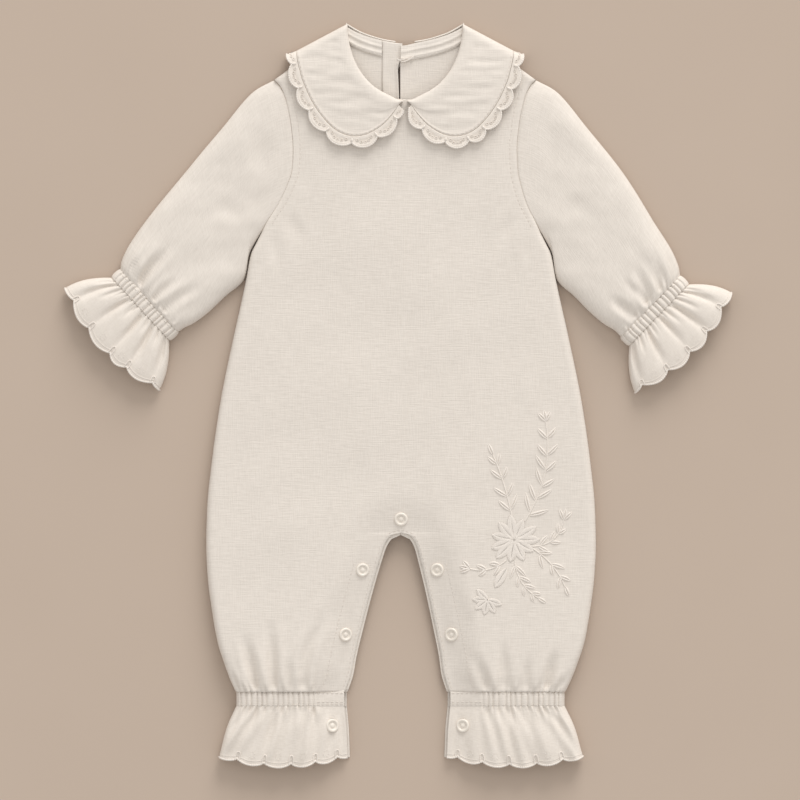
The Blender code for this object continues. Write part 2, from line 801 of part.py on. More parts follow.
def lace_stops():
    """Places along the collar's rows with how far each is from a cusp, 0 to 1: even scallops on the front."""
    edges = [Vector((row.edge_across, row.edge_down)) for row in COLLAR]
    lengths = [0.0]
    for a, b in zip(edges, edges[1:]):
        lengths.append(lengths[-1] + (b - a).length)
    turn = next(index for index, row in enumerate(COLLAR) if row.lies == 0)

    def crest(at):
        length = mixed(lengths[int(at)], lengths[min(int(at) + 1, turn)], at - int(at))
        return abs(math.sin(math.pi * LACE_SCALLOPS * length / lengths[turn])) ** 0.7

    stops = set(range(turn + 1))
    for step in range(LACE_SCALLOPS * LACE_PARTS):
        length = lengths[turn] * step / (LACE_SCALLOPS * LACE_PARTS)
        low = max(index for index in range(turn) if lengths[index] <= length)
        stops.add(low + (length - lengths[low]) / (lengths[low + 1] - lengths[low]))
    front = [(at, crest(at)) for at in sorted(stops)]
    return front + [(index, 1.0) for index in range(turn + 1, len(COLLAR))]


def make_collar_trim(name, side):
    """The scalloped edging beyond one collar half's cloth edge."""
    spots = []
    for at, crest in lace_stops():
        row = collar_between(at)
        edge = Vector((row.edge_across, row.edge_down))
        lace = Vector((row.lace_across, row.lace_down))
        start = edge + (lace - edge).normalized() * SEAM_GAP
        end = edge.lerp(lace, mixed(LACE_CUSP, 1, crest))
        line = []
        for spot in (start, end):
            over = front_height(spot.x, spot.y) + LACE_REST
            rest = over if row.lies > 0 else 0
            line.append((spot.x, spot.y, mixed(SEAM_HEIGHT, rest, abs(row.lies))))
        spots.append(line)
    solidified(sheet(name, spots, side, LACE), TRIM_CLOTH)


def on_back(across, down, lift):
    """A spot above the back layer's inner face, near its neck."""
    return (across, down, collar_room(down) + CLOTH + SEAM_GAP + lift)


def make_neck_facing(name, side):
    """The strip that binds the back neck on the inside, from the placket's side to near the shoulder."""
    starts = SEAM_GAP - OPENING_EDGE if side > 0 else OPENING_EDGE + PLACKET_WIDTH + SEAM_GAP
    spots = []
    for step in range(BINDING_STEPS + 1):
        across = mixed(starts, BINDING_ENDS, step / BINDING_STEPS)
        top = back_neck(across) + SEAM_GAP
        spots.append([on_back(across, down, TRIM_CLOTH) for down in (top + BINDING_DEPTH, top)])
    solidified(sheet(name, spots, side, DOUBLE_GAUZE), TRIM_CLOTH)


def make_back_placket():
    """The strip along the wearer's right edge of the back-neck opening."""
    edges = (OPENING_EDGE + PLACKET_WIDTH, OPENING_EDGE)
    spots = [[on_back(across, back_neck(across) + SEAM_GAP, TRIM_CLOTH) for across in edges]]
    for down in PLACKET_LEVELS:
        spots.append([on_back(across, down, TRIM_CLOTH) for across in edges])
    solidified(sheet("back_placket", spots, -1, DOUBLE_GAUZE), TRIM_CLOTH)


# ------------------------------------------------------------------ fastenings


def turned(name, profile, steps, finish):
    """A profile of (radius, height) turned about Z, from its top at the axis to its foot at the axis."""
    mesh = bpy.data.meshes.new(name)
    points = [(radius * MM, 0, height * MM) for radius, height in profile]
    mesh.from_pydata(points, [(n, n + 1) for n in range(len(points) - 1)], [])
    obj = new_object(name, mesh, finish)
    screw = obj.modifiers.new("turn", "SCREW")
    screw.steps = steps
    screw.render_steps = steps
    screw.use_merge_vertices = True
    screw.merge_threshold = 0.00001
    return obj


def ankle_frill_at(down):
    """The ankle ruffle's edges and height at a level between its rings."""
    share = (down - LEG_END - ANKLE_CASING) / ANKLE_RUFFLE
    return Frill(share, *(smooth(ANKLE_FRILL, column, share) for column in ("inner", "outer", "crown")))


def surface_at(across, down):
    """The height of the cloth's outer face under a snap, on the leg or on the ruffle below it."""
    if down < LEG_END:
        return front_height(across, down)
    return front_skin(ankle_level(ankle_frill_at(down)), abs(across))[0][1]


def make_snap(name, across, down):
    """A ring snap, tilted to the cloth under it and just clear of it."""
    turns = [math.pi * step / 4 for step in range(8)]
    ring = [(math.cos(turn) * SNAP_RADIUS, math.sin(turn) * SNAP_RADIUS) for turn in turns]
    heights = [surface_at(across + x, down + y) for x, y in ring]
    spread = sum(x * x for x, _ in ring)
    slope_x = sum(height * x for height, (x, _) in zip(heights, ring)) / spread
    slope_y = sum(height * y for height, (_, y) in zip(heights, ring)) / spread
    highest = max(height - slope_x * x - slope_y * y for height, (x, y) in zip(heights, ring))
    snap = turned(name, SNAP_PROFILE, SNAP_STEPS, SNAP_RESIN)
    snap.location = place(across, down, max(highest, surface_at(across, down)) + 2 * SEAM_GAP)
    normal = Vector((-slope_x, slope_y, 1)).normalized()
    snap.rotation_euler = Vector((0, 0, 1)).rotation_difference(normal).to_euler()


def make_snaps():
    make_snap("snap_crotch", 0, CROTCH - SNAP_INSET)
    for name, side in SIDES.items():
        for part, down in SNAP_DOWNS.items():
            across = smooth(INNER_LEG, "half_width", down) + SNAP_INSET
            make_snap(f"snap_{part}_{name}", side * across, down)
        across = ankle_frill_at(ANKLE_SNAP_DOWN).inner + SNAP_INSET
        make_snap(f"snap_ankle_{name}", side * across, ANKLE_SNAP_DOWN)


def make_back_button():
    """The small flat button at the back neck, beneath the cloth and between the collar's ends."""
    profile = [(0, BUTTON_THICK), (BUTTON_RADIUS, BUTTON_THICK), (BUTTON_RADIUS, 0), (0, 0)]
    button = turned("back_button", profile, BUTTON_STEPS, SNAP_RESIN)
    button.location = place(0, BUTTON_DOWN, 0)


def clear_scene():
    for obj in list(bpy.data.objects):
        bpy.data.objects.remove(obj, do_unlink=True)
    romper = bpy.data.collections.new("baby_romper")
    bpy.context.scene.collection.children.link(romper)


def main():
    clear_scene()
    make_front()
    for name, side in SIDES.items():
        make_back(f"back_{name}", side)
        make_sleeve(f"sleeve_{name}", side)
        make_wrist_casing(f"wrist_casing_{name}", side)
        make_wrist_ruffle(f"wrist_ruffle_{name}", side)
        make_ankle_casing(f"ankle_casing_{name}", side)
        make_ankle_ruffle(f"ankle_ruffle_{name}", side)
        make_collar(f"collar_{name}", side)
        make_collar_trim(f"collar_trim_{name}", side)
        make_neck_facing(f"neck_facing_{name}", side)
    make_back_placket()
    make_snaps()
    make_back_button()


main()
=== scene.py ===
"""The looks of a baby's long-sleeved romper of washed double gauze, laid flat and face up.

Sizes are in millimetres and in a pattern cutter's terms: across from the centre line, down from the top of the
shoulder, and height above the floor. The lay turns a spot of the pattern to a point of the frame.
"""

import logging
import math
from collections.abc import Callable
from dataclasses import dataclass
from enum import Enum

import bpy
import numpy as np
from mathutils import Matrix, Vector


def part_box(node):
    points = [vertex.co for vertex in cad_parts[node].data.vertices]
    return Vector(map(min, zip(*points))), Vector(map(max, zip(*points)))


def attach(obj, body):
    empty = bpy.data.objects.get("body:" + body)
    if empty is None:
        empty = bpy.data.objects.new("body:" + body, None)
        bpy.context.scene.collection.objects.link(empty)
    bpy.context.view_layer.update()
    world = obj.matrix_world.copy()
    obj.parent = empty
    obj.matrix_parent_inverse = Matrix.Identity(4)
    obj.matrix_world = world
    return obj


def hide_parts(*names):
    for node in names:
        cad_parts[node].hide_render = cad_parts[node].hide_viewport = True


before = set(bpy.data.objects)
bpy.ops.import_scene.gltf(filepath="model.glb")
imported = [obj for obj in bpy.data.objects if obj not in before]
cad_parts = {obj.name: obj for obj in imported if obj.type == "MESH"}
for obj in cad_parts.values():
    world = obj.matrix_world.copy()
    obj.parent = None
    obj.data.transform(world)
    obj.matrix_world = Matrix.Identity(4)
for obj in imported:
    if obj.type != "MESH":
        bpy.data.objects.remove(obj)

Array = np.ndarray
Material = bpy.types.Material
Piece = bpy.types.Object
Spot = tuple[float, float]

MM = 0.001
LOG = logging.getLogger("romper")

# Cloth and seams, as the solids have them.
CLOTH = 1.0
TRIM_CLOTH = 0.8
SEAM_HEIGHT = 3.0
SEAM_GAP = 0.3
BACK_ROLL = 9.0

# How a piece is held and what it rests on.
GATHERED = {"held": "gathered", "rests_on": ["floor"]}
FOLDED = {"held": "folded", "rests_on": ["front", "floor"]}


class Side(Enum):
    """The wearer's two sides, and which way each lies across the garment."""

    LEFT = 1
    RIGHT = -1

    @property
    def word(self) -> str:
        """The side as the nodes' names give it."""
        return self.name.lower()


# ---- shapes of curves and fields


def eased(value: Array, start: float | Array, end: float | Array) -> Array:
    """A smooth step, which is 0 up to start and 1 from end on, read at each value."""
    share = np.clip((value - start) / (end - start), 0, 1)
    return share * share * (3 - 2 * share)


def mixed(start: Array | float, end: Array | float, share: Array | float) -> Array:
    """The value at a share of the way from start to end."""
    return start + (end - start) * share


def rounded(share: Array, power: float = 2.0) -> Array:
    """The rise of a quarter circle from 0 to 1, squarer with a higher power."""
    return (1 - (1 - np.clip(share, 0, 1)) ** power) ** (1 / power)


def arch(share: Array) -> Array:
    """A parabola from 0 at either end to 1 in the middle."""
    return 4 * share * (1 - share)


def pillow(share: Array, power: float = 4.0) -> Array:
    """The rise of a flattened tube between its folds at 0 and 1, flatter with a higher power."""
    return np.sqrt(np.maximum(0, 1 - np.abs(2 * share - 1) ** power))


def bell(distance: Array, width: float | Array) -> Array:
    """A soft bump, 1 at distance 0 and gone at about twice its width."""
    return np.exp(-((distance / width) ** 2))


def cosine_stops(count: int) -> Array:
    """Shares from 0 to 1, closer together near the ends."""
    return (1 - np.cos(np.linspace(0, np.pi, count))) / 2


class Curve:
    """A smooth curve through a table's values that never overshoots them."""

    def __init__(self, rows: list[Spot] | tuple[Spot, ...]) -> None:
        """Works out the slopes.

        Args:
            rows: pairs of a place and its value, in order.
        """
        self.places, self.values = np.array(rows, float).T
        steps = np.diff(self.places)
        rates = np.diff(self.values) / steps
        before, after = rates[:-1], rates[1:]
        total = np.where(before * after > 0, before + after, 1)
        inner = np.where(before * after > 0, 2 * before * after / total, 0)
        self.slopes = np.concatenate([rates[:1], inner, rates[-1:]])

    def __call__(self, at: Array | float) -> Array:
        """The curve's value.

        Args:
            at: the places to read.

        Returns:
            The values there, held level past the ends.
        """
        at = np.clip(at, self.places[0], self.places[-1])
        low = np.clip(np.searchsorted(self.places, at, side="right") - 1, 0, len(self.places) - 2)
        step = self.places[low + 1] - self.places[low]
        share = (at - self.places[low]) / step
        bend = share * share * (3 - 2 * share)
        lead = share * (1 - share) ** 2 * step * self.slopes[low]
        trail = share * share * (1 - share) * step * self.slopes[low + 1]
        return mixed(self.values[low], self.values[low + 1], bend) + lead - trail


def spline(points: Array | list, at: Array) -> Array:
    """A smooth line through points.

    Args:
        points: the points that it goes through.
        at: places along it, counted in points from 0.

    Returns:
        The line's point at each place.
    """
    points = np.asarray(points, float)
    padded = np.concatenate([2 * points[:1] - points[1:2], points, 2 * points[-1:] - points[-2:-1]])
    low = np.clip(np.floor(at).astype(int), 0, len(points) - 2)
    share = (at - low).reshape(-1, *[1] * (points.ndim - 1))
    a, b, c, d = (padded[low + step] for step in range(4))
    cubic = (3 * b - a - 3 * c + d) * share**3
    return (2 * b + (c - a) * share + (2 * a - 5 * b + 4 * c - d) * share**2 + cubic) / 2


def steps(count: int) -> Array:
    """Even shares from 0 to 1."""
    return np.linspace(0, 1, count)


def unit(vectors: Array) -> Array:
    """The vectors at length 1."""
    return vectors / np.linalg.norm(vectors, axis=-1, keepdims=True)


def run_along(points: Array) -> Array:
    """How far along a line each of its points is."""
    return np.concatenate([[0], np.cumsum(np.linalg.norm(np.diff(points, axis=0), axis=1))])


def evenly(points: Array | list, step: float) -> Array:
    """Points about a step apart along the smooth line through given ones."""
    fine = spline(points, np.linspace(0, len(points) - 1, 40 * len(points)))
    run = run_along(fine)
    marks = np.linspace(0, run[-1], max(2, round(run[-1] / step) + 1))
    return np.stack([np.interp(marks, run, column) for column in fine.T], -1)


def rumpled(across: Array, down: Array, seed: int, size: float, height: float) -> Array:
    """Low, irregular waves, as washed gauze has.

    Args:
        across: spots across the cloth.
        down: spots down the cloth.
        seed: which pattern it is.
        size: about how long a wave is.
        height: about how high it is.

    Returns:
        The waves' height at each spot, about zero.
    """
    random = np.random.default_rng(seed)
    total = np.zeros(np.broadcast(across, down).shape)
    waves = 14
    for _ in range(waves):
        turn, phase = random.uniform(0, 2 * np.pi, 2)
        pitch = 2 * np.pi / (size * random.uniform(0.6, 1.7))
        total += np.sin((across * math.cos(turn) + down * math.sin(turn)) * pitch + phase)
    return height * total / math.sqrt(waves)


@dataclass(frozen=True)
class Crease:
    """A soft trough along a line of spots, which may run out into a seam at its end."""

    line: tuple[Spot, ...]
    depth: float
    width: float
    runs_out: bool = False

    def sink(self, across: Array, down: Array) -> Array:
        """How far the crease sinks the cloth, with a low ridge at either side.

        Args:
            across: spots across the cloth.
            down: spots down the cloth.

        Returns:
            The depth at each spot, below 0 on the ridges.
        """
        path = evenly(list(self.line), self.width * 0.7)
        share = np.linspace(0, 1, len(path))
        fade = eased(share, 0, 0.6) * (1 if self.runs_out else eased(1 - share, 0, 0.4))
        nearest = np.full(np.broadcast(across, down).shape, np.inf)
        depth = np.zeros(nearest.shape)
        for (spot_across, spot_down), strength in zip(path, fade):
            away = (across - spot_across) ** 2 + (down - spot_down) ** 2
            depth = np.where(away < nearest, strength, depth)
            nearest = np.minimum(nearest, away)
        away = np.sqrt(nearest)
        trough = bell(away, self.width)
        ridge = 0.3 * bell(away - 1.9 * self.width, 0.8 * self.width)
        return self.depth * depth * (trough - ridge)


def creased(creases: tuple[Crease, ...], across: Array, down: Array) -> Array:
    """How far a group of creases sinks the cloth at each spot."""
    return sum((crease.sink(across, down) for crease in creases), np.zeros(np.broadcast(across, down).shape))


@dataclass(frozen=True)
class Gathers:
    """The puckers that a gathered seam makes in the cloth on both its sides.

    Shares go along the seam from 0 to 1.
    """

    seed: int
    count: int
    begins: float = 0.0
    depth: float = 2.0
    reach: float = 12.0
    wander: float = 0.35
    ropes: int = 17
    swell: float = 0.75
    ropes_run: float = 3.6
    onset: float = 4.4

    def drawn(self, share: Array) -> Array:
        """0 along the flat stretch before the gathers, and 1 beyond it."""
        return eased(share, self.begins - 0.06, self.begins + 0.05) if self.begins else np.ones_like(share)

    def rope(self, share: Array, away: Array | float = 0.0) -> Array:
        """The casing's uneven ridges, which run on a little way into the cloth.

        Args:
            share: places along the casing.
            away: how far each spot is from the casing.

        Returns:
            The ridges' height, below 0 in the grooves between them.
        """
        random = np.random.default_rng(self.seed)
        marks = np.linspace(0, 1, self.ropes + 1)
        marks[1:-1] += random.uniform(-0.2, 0.2, self.ropes - 1) / self.ropes
        strands = random.uniform(0.8, 1.15, self.ropes + 1)
        phase = np.interp(share, marks, np.arange(self.ropes + 1))
        ridge = 2 * np.abs(np.sin(np.pi * phase)) ** 0.65 - 1
        strand = strands[np.floor(phase).astype(int)]
        return self.swell * strand * ridge * np.exp(-away / self.ropes_run) * self.drawn(share)

    def troughs(self) -> list[tuple[float, float, float]]:
        """The share, the relative depth and the relative reach of each trough."""
        random = np.random.default_rng(self.seed)
        step = (1 - self.begins) / self.count
        rows = []
        for number in range(self.count):
            share = self.begins + step * (number + 0.5 + random.uniform(-self.wander, self.wander))
            strength = random.uniform(0.55, 1.0)
            reach = random.uniform(0.45, 1.0) if number % 3 else random.uniform(1.1, 1.7)
            rows.append((share, strength, reach))
        return rows

    def sink(self, share: Array, away: Array, length: Array | float, spread: float = 1.0) -> Array:
        """How far the puckers sink the cloth.

        Args:
            share: where each spot is along the seam.
            away: how far it is from the seam.
            length: how long the seam's line is there.
            spread: how much wider than usual each trough opens.

        Returns:
            The depth at each spot, below 0 on the ridges.
        """
        total = np.zeros(np.broadcast(share, away).shape)
        for at, strength, reach in self.troughs():
            width = (1.1 + 0.1 * away) * spread
            fade = np.exp(-((away / (self.reach * reach)) ** 1.4)) * mixed(0.12, 1, eased(away, 0, self.onset))
            off = (share - at) * length
            total += strength * fade * (bell(off, width) - 0.35 * bell(np.abs(off) - 2 * width, width))
        return self.depth * total


# ---- the pattern and how it lies


@dataclass(frozen=True)
class Lay:
    """How the garment lies: its centre line, its length and its small drifts."""

    centre: float
    half_length: float
    neck_drift: float = 2.9
    neck_ends: Spot = (100, 150)
    leg_drift: float = -3.8
    leg_ends: Spot = (360, 480)
    leg_reach: float = 131

    @classmethod
    def from_frame(cls, shoulder_down: float) -> "Lay":
        """Reads it off the solids: the centre line from the crotch snap, and the front's top."""
        low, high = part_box("snap_crotch")
        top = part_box("front")[1].y
        return cls(centre=(low.x + high.x) / 2 / MM, half_length=top / MM + shoulder_down)

    def place(self, across: Array, down: Array, height: Array) -> Array:
        """Points of the frame.

        Args:
            across: spots across, positive to the wearer's left.
            down: spots down.
            height: how high each lies.

        Returns:
            Their x, y and z, in metres.
        """
        neck = self.neck_drift * (1 - eased(down, *self.neck_ends))
        start, end = self.leg_ends
        leg = self.leg_drift * np.clip((down - start) / (end - start), 0, 1)
        drift = neck + leg * np.maximum(0, 1 - np.abs(across) / self.leg_reach)
        x, y, z = np.broadcast_arrays(self.centre + across + drift, self.half_length - down, height)
        return np.stack([x, y, z], -1) * MM


@dataclass(frozen=True)
class Body:
    """The body's outline and the heights of its front layer."""

    neck_half: float = 43.2
    neck_drop: float = 54.3
    neck_bend: float = 2.0
    neck_seam: float = 0.2
    neck_foot: float = 56.5
    shoulder_top: Spot = (46.5, 5.4)
    shoulder_tip: Spot = (94.3, 40.3)
    underarm: Spot = (100.8, 150.5)
    back_neck_drop: float = 14.4
    back_neck_bend: float = 1.5
    crotch: float = 366.5
    flap_ease: float = 30.0
    leg_end: float = 480.7
    back_peek: float = 1.8
    collar_room: float = 1.8
    collar_room_ends: Spot = (80, 110)
    lap_reach: float = 3.5
    lap_rise: float = 2.4
    lap_ends: Spot = (90, 130)
    # How far the slit gapes, below 0 where it is lapped shut.
    slit: Curve = Curve(
        [(14, -1.5), (25, -1.0), (28, 0.6), (33, 1.7), (42, 1.4), (54, 0.9), (75, 0.5), (130, 0.2)]
    )
    neck_step: float = 1.6

    # Half widths at levels down the pattern.
    armhole: Curve = Curve(
        [(40.3, 94.3), (44, 90.5), (54.7, 85.7), (72, 82), (90.7, 80.3)]
        + [(105, 81), (119.5, 85), (130.3, 89.6), (141, 96), (150.5, 100.8)]
    )
    side_seam: Curve = Curve(
        [(150.5, 100.8), (158, 104.5), (166, 108.3), (184, 111.6), (207, 116.6), (230, 121.7)]
        + [(271, 130), (317, 136.6), (350, 139.8), (375, 140.4), (398, 139.3), (421, 136.4)]
        + [(444, 132.4), (461, 127), (472, 122.8), (480.7, 118.8)]
    )
    inner_leg: Curve = Curve(
        [(366.5, 0), (366.7, 2.2), (367.3, 4.4), (368.6, 7.2), (374.4, 11.2), (385.9, 14.8)]
        + [(409, 20.9), (432, 26.3), (455, 31.3), (466.6, 33.1), (480.7, 37.6)]
    )
    # The front layer's height, its roll at the sides, and its height along the inner legs.
    crown: Curve = Curve(
        [(5, 5), (20, 6.4), (40, 8.2), (90, 9.5), (150, 10), (230, 10.3), (320, 11.0)]
        + [(366, 11.8), (400, 12.7), (430, 13.6), (455, 14.2), (468, 14.1), (475, 13.4), (481, 12.1)]
    )
    roll: Curve = Curve([(5, 7), (20, 7), (40, 7), (90, 7), (400, 6.5), (455, 6.5), (481, 7)])
    flap_edge: Curve = Curve([(330, 9.5), (366, 9.0), (380, 8.2), (393, 7.2), (440, 5.6), (481, 5.0)])
    roll_power: float = 3.0

    def outer_edge(self, down: Array) -> Array:
        """Half the body's width: along the shoulder, then the armhole, then the side seam."""
        (top_across, top_down), (tip_across, tip_down) = self.shoulder_top, self.shoulder_tip
        slope = mixed(top_across, tip_across, (down - top_down) / (tip_down - top_down))
        below = np.where(down <= self.underarm[1], self.armhole(down), self.side_seam(down))
        return np.where(down <= tip_down, slope, below)

    def front_neck(self, down: Array) -> Array:
        """Half the front neck opening at each level."""
        share = np.clip((down - self.neck_seam) / self.neck_drop, 0, 1)
        return self.neck_half * (1 - share**self.neck_bend) ** (1 / self.neck_bend)

    def back_neck(self, across: Array) -> Array:
        """How far down the back neck's edge is at each spot across."""
        share = np.clip(np.abs(across) / self.neck_half, 0, 1)
        return self.back_neck_drop * (1 - share**self.back_neck_bend) ** (1 / self.back_neck_bend)

    def inner_edge(self, down: Array) -> Array:
        """Half the opening at the neck or between the legs, and 0 between."""
        return np.where(down < self.neck_foot, self.front_neck(down), self.inner_leg(down))

    def armhole_share(self, down: Array) -> Array:
        """How far along the armhole's chord each level lies, from 0 at the tip."""
        tip, chord = np.array(self.shoulder_tip), np.subtract(self.underarm, self.shoulder_tip)
        spot_across, spot_down = self.outer_edge(down) - tip[0], down - tip[1]
        return np.clip((spot_across * chord[0] + spot_down * chord[1]) / (chord @ chord), 0, 1)

    def lean(self, down: Array) -> Array:
        """1 where the front's edge stands upright, in the middle of the armhole, and 0 where it lies."""
        inside = (down > self.shoulder_tip[1]) & (down < self.underarm[1])
        return np.where(inside, pillow(self.armhole_share(down)), 0)

    def room(self, down: Array) -> Array:
        """How far the back stands up over the folded part of the collar."""
        return self.collar_room * (1 - eased(down, *self.collar_room_ends))

    def lap(self, across: Array, down: Array) -> Array:
        """How far the back's left half stands up where it laps over the other."""
        return self.lap_rise * (1 - eased(down, 30, self.lap_ends[1])) * bell(across + self.lap_reach, 6)

    def off_opening(self, across: Array, down: Array) -> Array:
        """How far each spot is from the opening between the legs."""
        bend = self.crotch + 10
        levels = np.concatenate([np.linspace(self.crotch, bend, 24), np.linspace(bend + 2, self.leg_end + 8, 50)])
        nearest = np.full(np.broadcast(across, down).shape, np.inf)
        for level, edge in zip(levels, self.inner_leg(levels)):
            nearest = np.minimum(nearest, (np.abs(across) - edge) ** 2 + (down - level) ** 2)
        return np.sqrt(nearest)

    def front_height(self, across: Array, down: Array) -> Array:
        """The height of the front's outer face.

        Args:
            across: spots across, held at the front's edges where they lie past them.
            down: spots down.

        Returns:
            The height at each spot, without creases.
        """
        down = np.maximum(down, self.shoulder_top[1])
        inner, outer, crown = self.inner_edge(down), self.outer_edge(down), self.crown(down)
        across = np.clip(np.abs(across), inner, outer)
        edge = mixed(SEAM_HEIGHT + SEAM_GAP / 2, crown, self.lean(down))
        low = mixed(self.flap_edge(down), edge, (across - inner) / (outer - inner))
        rise = rounded((outer - across) / self.roll(down), self.roll_power)
        return low + (crown - low) * rise * eased(self.off_opening(across, down), 0, self.flap_ease)


BODY = Body()
LAY = Lay.from_frame(BODY.shoulder_top[1])


# ---- meshes


def grid_quads(index: Array, closed: bool = False) -> Array:
    """The quads between the rows and columns of a grid of vertex numbers."""
    if closed:
        index = np.hstack([index, index[:, :1]])
    corners = [index[:-1, :-1], index[:-1, 1:], index[1:, 1:], index[1:, :-1]]
    return np.stack(corners, -1).reshape(-1, 4)


def mesh_object(
    name: str, points: Array, quads: Array, finish: Material, cut: Array | None = None
) -> Piece:
    """An object with one mesh.

    Args:
        name: the piece's name.
        points: its vertices, in metres.
        quads: the vertex numbers of each quad.
        finish: its material.
        cut: where each quad's corners lie on the flat cut, if the weave follows it.

    Returns:
        The object, linked to the scene and shaded smooth.
    """
    used, numbers = np.unique(quads, return_inverse=True)
    mesh = bpy.data.meshes.new(name)
    mesh.from_pydata(points.reshape(-1, 3)[used], [], numbers.reshape(quads.shape))
    if cut is not None:
        layer = mesh.uv_layers.new(name="cut")
        layer.data.foreach_set("uv", cut.astype(np.float32).ravel())
    mesh.materials.append(finish)
    mesh.shade_smooth()
    piece = bpy.data.objects.new(name, mesh)
    bpy.context.scene.collection.objects.link(piece)
    return piece


def solidify(piece: Piece, thickness: float) -> None:
    """Gives an open sheet its thickness, away from the side that its faces look to."""
    modifier = piece.modifiers.new("thickness", "SOLIDIFY")
    modifier.thickness = thickness * MM
    modifier.offset = -1


def lay_threads(
    name: str, paths: list[Array], radii: list[Array | float], finish: Material, sides: int = 6
) -> None:
    """Lays threads and cords, joined into one piece.

    Args:
        name: the piece's name.
        paths: the points of each thread's centre line, in metres.
        radii: each thread's radius, one for all of it or for each point.
        finish: their material.
        sides: how many sides each thread has.
    """
    points, quads, total = [], [], 0
    turns = np.linspace(0, 2 * np.pi, sides, endpoint=False)
    for path, radius in zip(paths, radii):
        along = np.gradient(path, axis=0)
        along /= np.linalg.norm(along, axis=1, keepdims=True) + 1e-12
        level = np.cross(along, [0, 0, 1.0])
        level /= np.linalg.norm(level, axis=1, keepdims=True) + 1e-12
        upward = np.cross(level, along)
        ring = np.cos(turns)[None, :, None] * level[:, None] + np.sin(turns)[None, :, None] * upward[:, None]
        width = np.broadcast_to(np.asarray(radius, float), (len(path),)) * MM
        points.append((path[:, None] + ring * width[:, None, None]).reshape(-1, 3))
        index = total + np.arange(len(path) * sides).reshape(len(path), sides)
        quads.append(grid_quads(index, closed=True))
        total += len(path) * sides
    show(mesh_object(name, np.concatenate(points), np.concatenate(quads), finish), "edging")


def show(piece: Piece, slot: str, *nodes: str) -> None:
    """Sets a finished piece on the frame.

    Args:
        piece: the piece.
        slot: its material slot in the record; not used.
        nodes: the solids that it stands for.
    """
    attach(piece, "root")
    if nodes:
        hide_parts(*nodes)
    LOG.info("%s: %d faces", piece.name, len(piece.data.polygons))


def turned(node: str, profile: list[Spot], centre: Array, upward: Vector, finish: Material) -> None:
    """Turns a round piece from its profile.

    Args:
        node: the solid that it stands for.
        profile: radius and height of its outline, in millimetres.
        centre: where its foot's middle is, in metres.
        upward: which way its axis points.
        finish: its material.
    """
    steps = 48
    radius, height = np.array(profile).T
    radius = np.maximum(radius, 0.01)
    turns = np.linspace(0, 2 * np.pi, steps, endpoint=False)
    ring = np.stack([np.outer(radius, np.cos(turns)), np.outer(radius, np.sin(turns))], -1)
    points = np.concatenate([ring, np.broadcast_to(height[:, None, None], (*ring.shape[:2], 1))], -1) * MM
    turn = np.array(Vector((0, 0, 1)).rotation_difference(upward).to_matrix())
    points = points.reshape(-1, 3) @ turn.T + np.array(Vector(centre))
    quads = grid_quads(np.arange(len(radius) * steps).reshape(len(radius), steps), closed=True)
    show(mesh_object(f"romper_{node}", points, quads, finish), "resin", node)


# ---- finishes


def linear(colour: str) -> tuple[float, float, float, float]:
    """The linear red, green, blue and alpha of an sRGB hex colour."""
    parts = [int(colour[start : start + 2], 16) / 255 for start in (1, 3, 5)]
    red, green, blue = (part / 12.92 if part <= 0.04045 else ((part + 0.055) / 1.055) ** 2.4 for part in parts)
    return red, green, blue, 1.0


def add_node(
    material: Material, kind: str, settings: dict[str | int, object], output: str | int = 0
) -> bpy.types.NodeSocket | None:
    """Adds a node to a material.

    Args:
        material: the material that it goes into.
        kind: the node's type.
        settings: its properties, and a value or another node's output for its sockets by name or number.
        output: which of its own outputs to give back.

    Returns:
        That output, if the node has any.
    """
    node = material.node_tree.nodes.new(f"ShaderNode{kind}")
    for name, value in settings.items():
        if isinstance(value, bpy.types.NodeSocket):
            material.node_tree.links.new(value, node.inputs[name])
        elif isinstance(name, str) and hasattr(node, name):
            setattr(node, name, value)
        else:
            node.inputs[name].default_value = value
    return node.outputs[output] if node.outputs else None


def new_material(name: str) -> Material:
    """A material with no nodes yet."""
    material = bpy.data.materials.new(name)
    material.use_nodes = True
    material.node_tree.nodes.clear()
    return material


def shaded(material: Material, looks: dict[str | int, object]) -> Material:
    """The material with its shader, which has these looks."""
    add_node(material, "OutputMaterial", {"Surface": add_node(material, "BsdfPrincipled", looks)})
    return material


